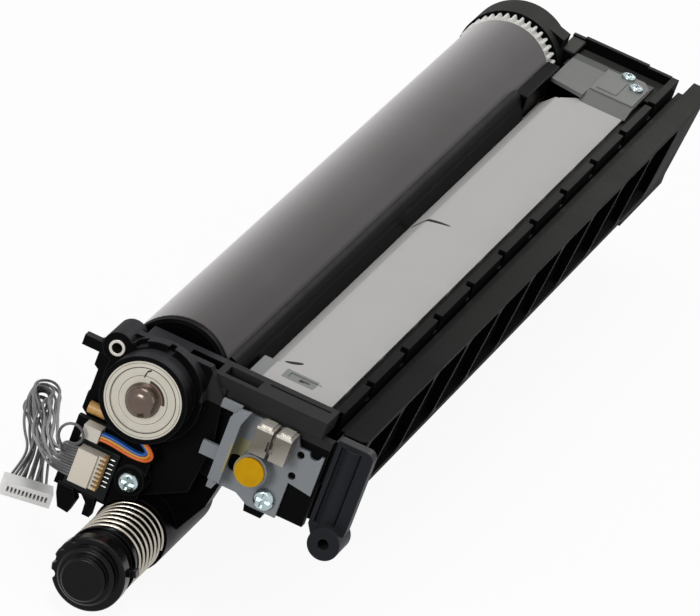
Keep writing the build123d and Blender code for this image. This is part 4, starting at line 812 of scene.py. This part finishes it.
end_black = moulding("end_black", END_BLACK, END_DUST_AND_SHEEN, END_EDGE, 0.5, specular=0.02)
end_tree = end_black.node_tree
end_x, end_y, end_z = axis_place(end_tree)
on_bar = both(end_tree, above(end_tree, end_x, BAR_LEFT_X), above(end_tree, end_z, BAR_LOW_Z))
paint_over(end_black, both(end_tree, on_bar, below(end_tree, end_y, BAR_REAR_Y)), BAR_PAINTED_LIGHT)
dress(end_black, "front_end")
dress(moulding("arm_black", ARM_BLACK, END_DUST_AND_SHEEN, END_EDGE, 0.42, specular=0.05), "locating_arm")
dress(metal("sleeve_steel", SLEEVE_STEEL, SLEEVE_DULL, 0.28, ROUND_LINES), "locating_sleeve")

# The front bearing: ground steel rings and balls behind a pressed steel shield, which has a
# rolled rim, two thin grooves, a curved slit beside the nose and three small notches; the
# grooves, the slit and the notches are painted dark, as painted shade.
RING_STEEL = (0.52, 0.50, 0.45, 1)
RING_DULL = (0.34, 0.32, 0.27, 1)
SHIELD_PALE = (0.58, 0.55, 0.47, 1)
SHIELD_DULL = (0.50, 0.47, 0.39, 1)
SLIT_BROWN = (0.22, 0.13, 0.10, 1)
SHADE_DARK = (0.035, 0.030, 0.028, 1)
SHIELD_LINES = (120.0, 120.0, 120.0)
GROOVES = ((0.00915, 0.00938), (0.01040, 0.01052))
SLIT_RADIUS = (0.00545, 0.00610)
SLIT_LIP = 0.0005
SLIT_ANGLES = (0.15, 1.55)
AXIS_Y = (0.0, 1.0, 0.0)
SHIELD_NOTCHES = (((-0.00184, 0, 0.00607), (-0.00155, 0, 0.00800), 0.00022),
                  ((-0.00165, 0, 0.00790), (-0.00051, 0, 0.00889), 0.00028),
                  ((0.00120, 0, -0.00450), (0.00270, 0, -0.00350), 0.00060))

dress(metal("bearing_steel", RING_STEEL, RING_DULL, 0.25, ROUND_LINES), "bearing_balls")
shield = metal("pressed_shield", SHIELD_PALE, SHIELD_DULL, 0.5, SHIELD_LINES, depth=0.08,
               metallic=0.15, specular=0.2, clouds=150.0)
shield_tree = shield.node_tree
across, _, up = axis_place(shield_tree)
radius = maths(shield_tree, "SQRT", maths(shield_tree, "ADD",
                                          maths(shield_tree, "MULTIPLY", across, across),
                                          maths(shield_tree, "MULTIPLY", up, up)))
along_slit = within(shield_tree, maths(shield_tree, "ARCTAN2", up, across), *SLIT_ANGLES)
slit = both(shield_tree, within(shield_tree, radius, *SLIT_RADIUS), along_slit)
slit_lip = within(shield_tree, radius, SLIT_RADIUS[0] - SLIT_LIP, SLIT_RADIUS[0])
paint_over(shield, both(shield_tree, slit_lip, along_slit), SLIT_BROWN)
# The slit, the grooves and the notches are painted dark as painted shade.
paint_over(shield, slit, SHADE_DARK)
for groove in GROOVES:
    paint_over(shield, within(shield_tree, radius, *groove), SHADE_DARK)
for start, end, half_width in SHIELD_NOTCHES:
    notch = stroke_mask(shield_tree, start, end, half_width, bend=0.0, axis=AXIS_Y)
    paint_over(shield, notch, SHADE_DARK)
dress(shield, "bearing_shield", "bearing_inner_ring", "bearing_outer_ring")

# The rear end: a black moulding with a round hood over the gear, and on it a raised steel
# bridge with a thin earthing plate and two screws. All the unit's screws are zinc plated.
BRIDGE_GREY = (0.178, 0.181, 0.171, 1)
BRIDGE_CLOUD = (0.170, 0.173, 0.163, 1)
EARTH_GREY = (0.205, 0.210, 0.200, 1)
EARTH_CLOUD = (0.180, 0.185, 0.175, 1)
STRIPE_Y = 0.3572
STRIPE_GREY = (0.083, 0.087, 0.084, 1)
ROLLED_LINES = (8.0, 60.0, 8.0)
# A small block beside the hood, between two corners in millimetres.
SHOULDER_LOW, SHOULDER_HIGH = (12.6, 358.0, -1.0), (17.4, 374.2, 9.2)
SHOULDER_EDGE = 0.8
SHOULDER_GREY = (0.075, 0.075, 0.070, 1)
ZINC = (0.46, 0.54, 0.55, 1)
ZINC_BLUE = (0.16, 0.27, 0.30, 1)

cut_block("rear_shoulder", SHOULDER_LOW, SHOULDER_HIGH, SHOULDER_EDGE)
dress(moulding("rear_black", END_BLACK, FRAME_DUST_AND_SHEEN, END_EDGE, 0.5), "rear_end")
dress(moulding("shoulder_grey", END_BLACK, SHOULDER_GREY, END_EDGE, 0.5), "rear_shoulder")
bridge_steel = metal("bridge_steel", BRIDGE_GREY, BRIDGE_CLOUD, 0.45, ROLLED_LINES, depth=0.05,
                     metallic=0.05, specular=0.05, clouds=40.0)
bridge_tree = bridge_steel.node_tree
paint_over(bridge_steel, above(bridge_tree, axis_place(bridge_tree)[1], STRIPE_Y), STRIPE_GREY)
dress(bridge_steel, "rear_bridge")
dress(metal("earth_steel", EARTH_GREY, EARTH_CLOUD, 0.4, ROLLED_LINES, depth=0.05, metallic=0.05,
            specular=0.05, clouds=40.0), "earth_plate")
dress(metal("screw_zinc", ZINC, ZINC_BLUE, 0.25, EVEN_LINES, depth=0.2, clouds=700.0),
      "holder_screws", "end_screws")

# The waste toner outlet: a black housing and duct, a fixed tube, and a shutter cap that a
# stainless spring of seven turns pushes outward.
OUTLET_BLACK = (0.0012, 0.0012, 0.0014, 1)
# On faces that look up, the outlet takes a colour of dust and painted sheen.
OUTLET_DUST_AND_SHEEN = (0.0050, 0.0050, 0.0055, 1)
OUTLET_EDGE = (0.030, 0.030, 0.032, 1)
SPRING_STEEL = (0.48, 0.44, 0.38, 1)
SPRING_DULL = (0.24, 0.21, 0.17, 1)

dress(moulding("outlet_black", OUTLET_BLACK, OUTLET_DUST_AND_SHEEN, OUTLET_EDGE, 0.35, specular=0.02),
      "outlet_housing", "outlet_tube")
dress(moulding("shutter_black", OUTLET_BLACK, OUTLET_DUST_AND_SHEEN, OUTLET_EDGE, 0.2, specular=0.15,
               Grain=0.08), "shutter")
dress(metal("spring_steel", SPRING_STEEL, SPRING_DULL, 0.22, ROUND_LINES, depth=0.1),
      "shutter_spring")
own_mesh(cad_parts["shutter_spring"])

# The terminal bracket: a light grey moulding with a plated sprung contact on it and a dab of
# yellow colour. The wall beside the dab is painted yellowish, a painted reflection of it.
BRACKET_GREY = (0.19, 0.205, 0.22, 1)
BRACKET_LIGHT = (0.21, 0.225, 0.24, 1)
BRACKET_EDGE = (0.30, 0.32, 0.34, 1)
BRACKET_PAINTED_REFLECTION = (0.30, 0.27, 0.10, 1)
REFLECTION_X, REFLECTION_Z = (0.0255, 0.0292), (-0.0120, -0.0035)
REFLECTION_SHARE = 0.7
MARK_YELLOW = (0.56, 0.30, 0.003, 1)
MARK_AMBER = (0.48, 0.25, 0.004, 1)
# The plating is painted brightest low on its right, a painted sheen, and its two tabs are
# bright with fine specks.
PLATED = (0.15, 0.135, 0.11, 1)
PLATED_DULL = (0.085, 0.072, 0.055, 1)
PLATED_PAINTED_SHEEN = (0.36, 0.34, 0.30, 1)
TAB_BRIGHT = (0.60, 0.57, 0.51, 1)
PLATED_LINES = (40.0, 40.0, 400.0)
SHEEN_LEAN = 0.6
SHEEN_FROM, SHEEN_OVER = 0.0205, 0.0085
TAB_FOOT_Z = 0.00385
SPECK_SCALE = 2600.0
SPECK_START = 0.60
SPECK_SHARE = 0.4
# The contact's slot is painted dark as painted shade.
CONTACT_SLOT = ((0.0354, 0, 0.0012), (0.0356, 0, -0.0012), 0.00040, 0.0)

bracket = moulding("bracket_grey", BRACKET_GREY, BRACKET_LIGHT, BRACKET_EDGE, 0.45, specular=0.35)
bracket_tree = bracket.node_tree
bracket_x, _, bracket_z = axis_place(bracket_tree)
# The wall beside the yellow dab is painted yellowish: a painted reflection.
reflection_mask = both(bracket_tree, within(bracket_tree, bracket_x, *REFLECTION_X),
              within(bracket_tree, bracket_z, *REFLECTION_Z))
paint_over(bracket, maths(bracket_tree, "MULTIPLY", reflection_mask, REFLECTION_SHARE), BRACKET_PAINTED_REFLECTION)
dress(bracket, "terminal_bracket")
dress(soft_finish("mark_yellow", MARK_YELLOW, MARK_AMBER, 0.45, scale=300.0, specular=0.05),
      "colour_mark")
plated = metal("plated_contact", PLATED, PLATED_DULL, 0.35, PLATED_LINES, depth=0.2, metallic=0.6,
               clouds=120.0)
plated_tree = plated.node_tree
plated_x, _, plated_z = axis_place(plated_tree)
sheen_way = maths(plated_tree, "SUBTRACT",
                  maths(plated_tree, "MULTIPLY", plated_x, SHEEN_LEAN), plated_z)
sheen = maths(plated_tree, "DIVIDE", maths(plated_tree, "SUBTRACT", sheen_way, SHEEN_FROM),
              SHEEN_OVER, clamp=True)
on_tabs = above(plated_tree, plated_z, TAB_FOOT_Z)
grains = noise(plated_tree, object_place(plated_tree), SPECK_SCALE)
specks = both(plated_tree, on_tabs, above(plated_tree, grains, SPECK_START))
paint_over(plated, sheen, PLATED_PAINTED_SHEEN)
paint_over(plated, on_tabs, TAB_BRIGHT)
paint_over(plated, maths(plated_tree, "MULTIPLY", specks, SPECK_SHARE), PLATED_DULL)
paint_over(plated, stroke_mask(plated_tree, *CONTACT_SLOT, axis=AXIS_Y), SHADE_DARK)
dress(plated, "contact_block")

# The control board: a dark lacquered board with a cream nylon connector and its row of solder
# pins, a small white connector for the lamp and a tan ceramic capacitor.
BOARD_BLACK = (0.0035, 0.0050, 0.0045, 1)
BOARD_GREEN = (0.010, 0.020, 0.017, 1)
CREAM = (0.66, 0.61, 0.52, 1)
CREAM_LIGHT = (0.74, 0.70, 0.62, 1)
CREAM_EDGE = (0.78, 0.72, 0.60, 1)
TINTED_X = -0.0052
CREAM_TINT = (0.66, 0.44, 0.21, 1)
NYLON_WHITE = (0.62, 0.58, 0.52, 1)
SOLDER = (0.62, 0.62, 0.60, 1)
SOLDER_DULL = (0.30, 0.31, 0.30, 1)
PIN_COUNT = 7
PIN_PITCH = 1.35
PIN_TOP_Z = -22.4
PIN_HALF = 0.22
PIN_X = (-4.0, -2.2)
PIN_Y = (6.3, 6.85)
PIN_EDGE = 0.2
CERAMIC_TAN = (0.44, 0.22, 0.06, 1)
CERAMIC_LIGHT = (0.62, 0.38, 0.13, 1)

dress(moulding("board_lacquer", BOARD_BLACK, BOARD_GREEN, BOARD_GREEN, 0.3, specular=0.15),
      "control_board")
cream = moulding("connector_cream", CREAM, CREAM_LIGHT, CREAM_EDGE, 0.45, specular=0.1, Grain=0.05)
cream_tree = cream.node_tree
paint_over(cream, above(cream_tree, axis_place(cream_tree)[0], TINTED_X), CREAM_TINT)
dress(cream, "board_connector")
dress(moulding("connector_white", NYLON_WHITE, CREAM_LIGHT, CREAM_EDGE, 0.45, specular=0.1,
               Grain=0.05), "lamp_connector")
dress(soft_finish("ceramic_tan", CERAMIC_TAN, CERAMIC_LIGHT, 0.3, scale=300.0),
      "ceramic_capacitor")
pins = [f"solder_pin_{number + 1}" for number in range(PIN_COUNT)]
for number, pin in enumerate(pins):
    pin_z = PIN_TOP_Z - number * PIN_PITCH
    cut_block(pin, (PIN_X[0], PIN_Y[0], pin_z - PIN_HALF), (PIN_X[1], PIN_Y[1], pin_z + PIN_HALF),
              PIN_EDGE)
dress(metal("solder_bright", SOLDER, SOLDER_DULL, 0.25, EVEN_LINES, depth=0.2), *pins)
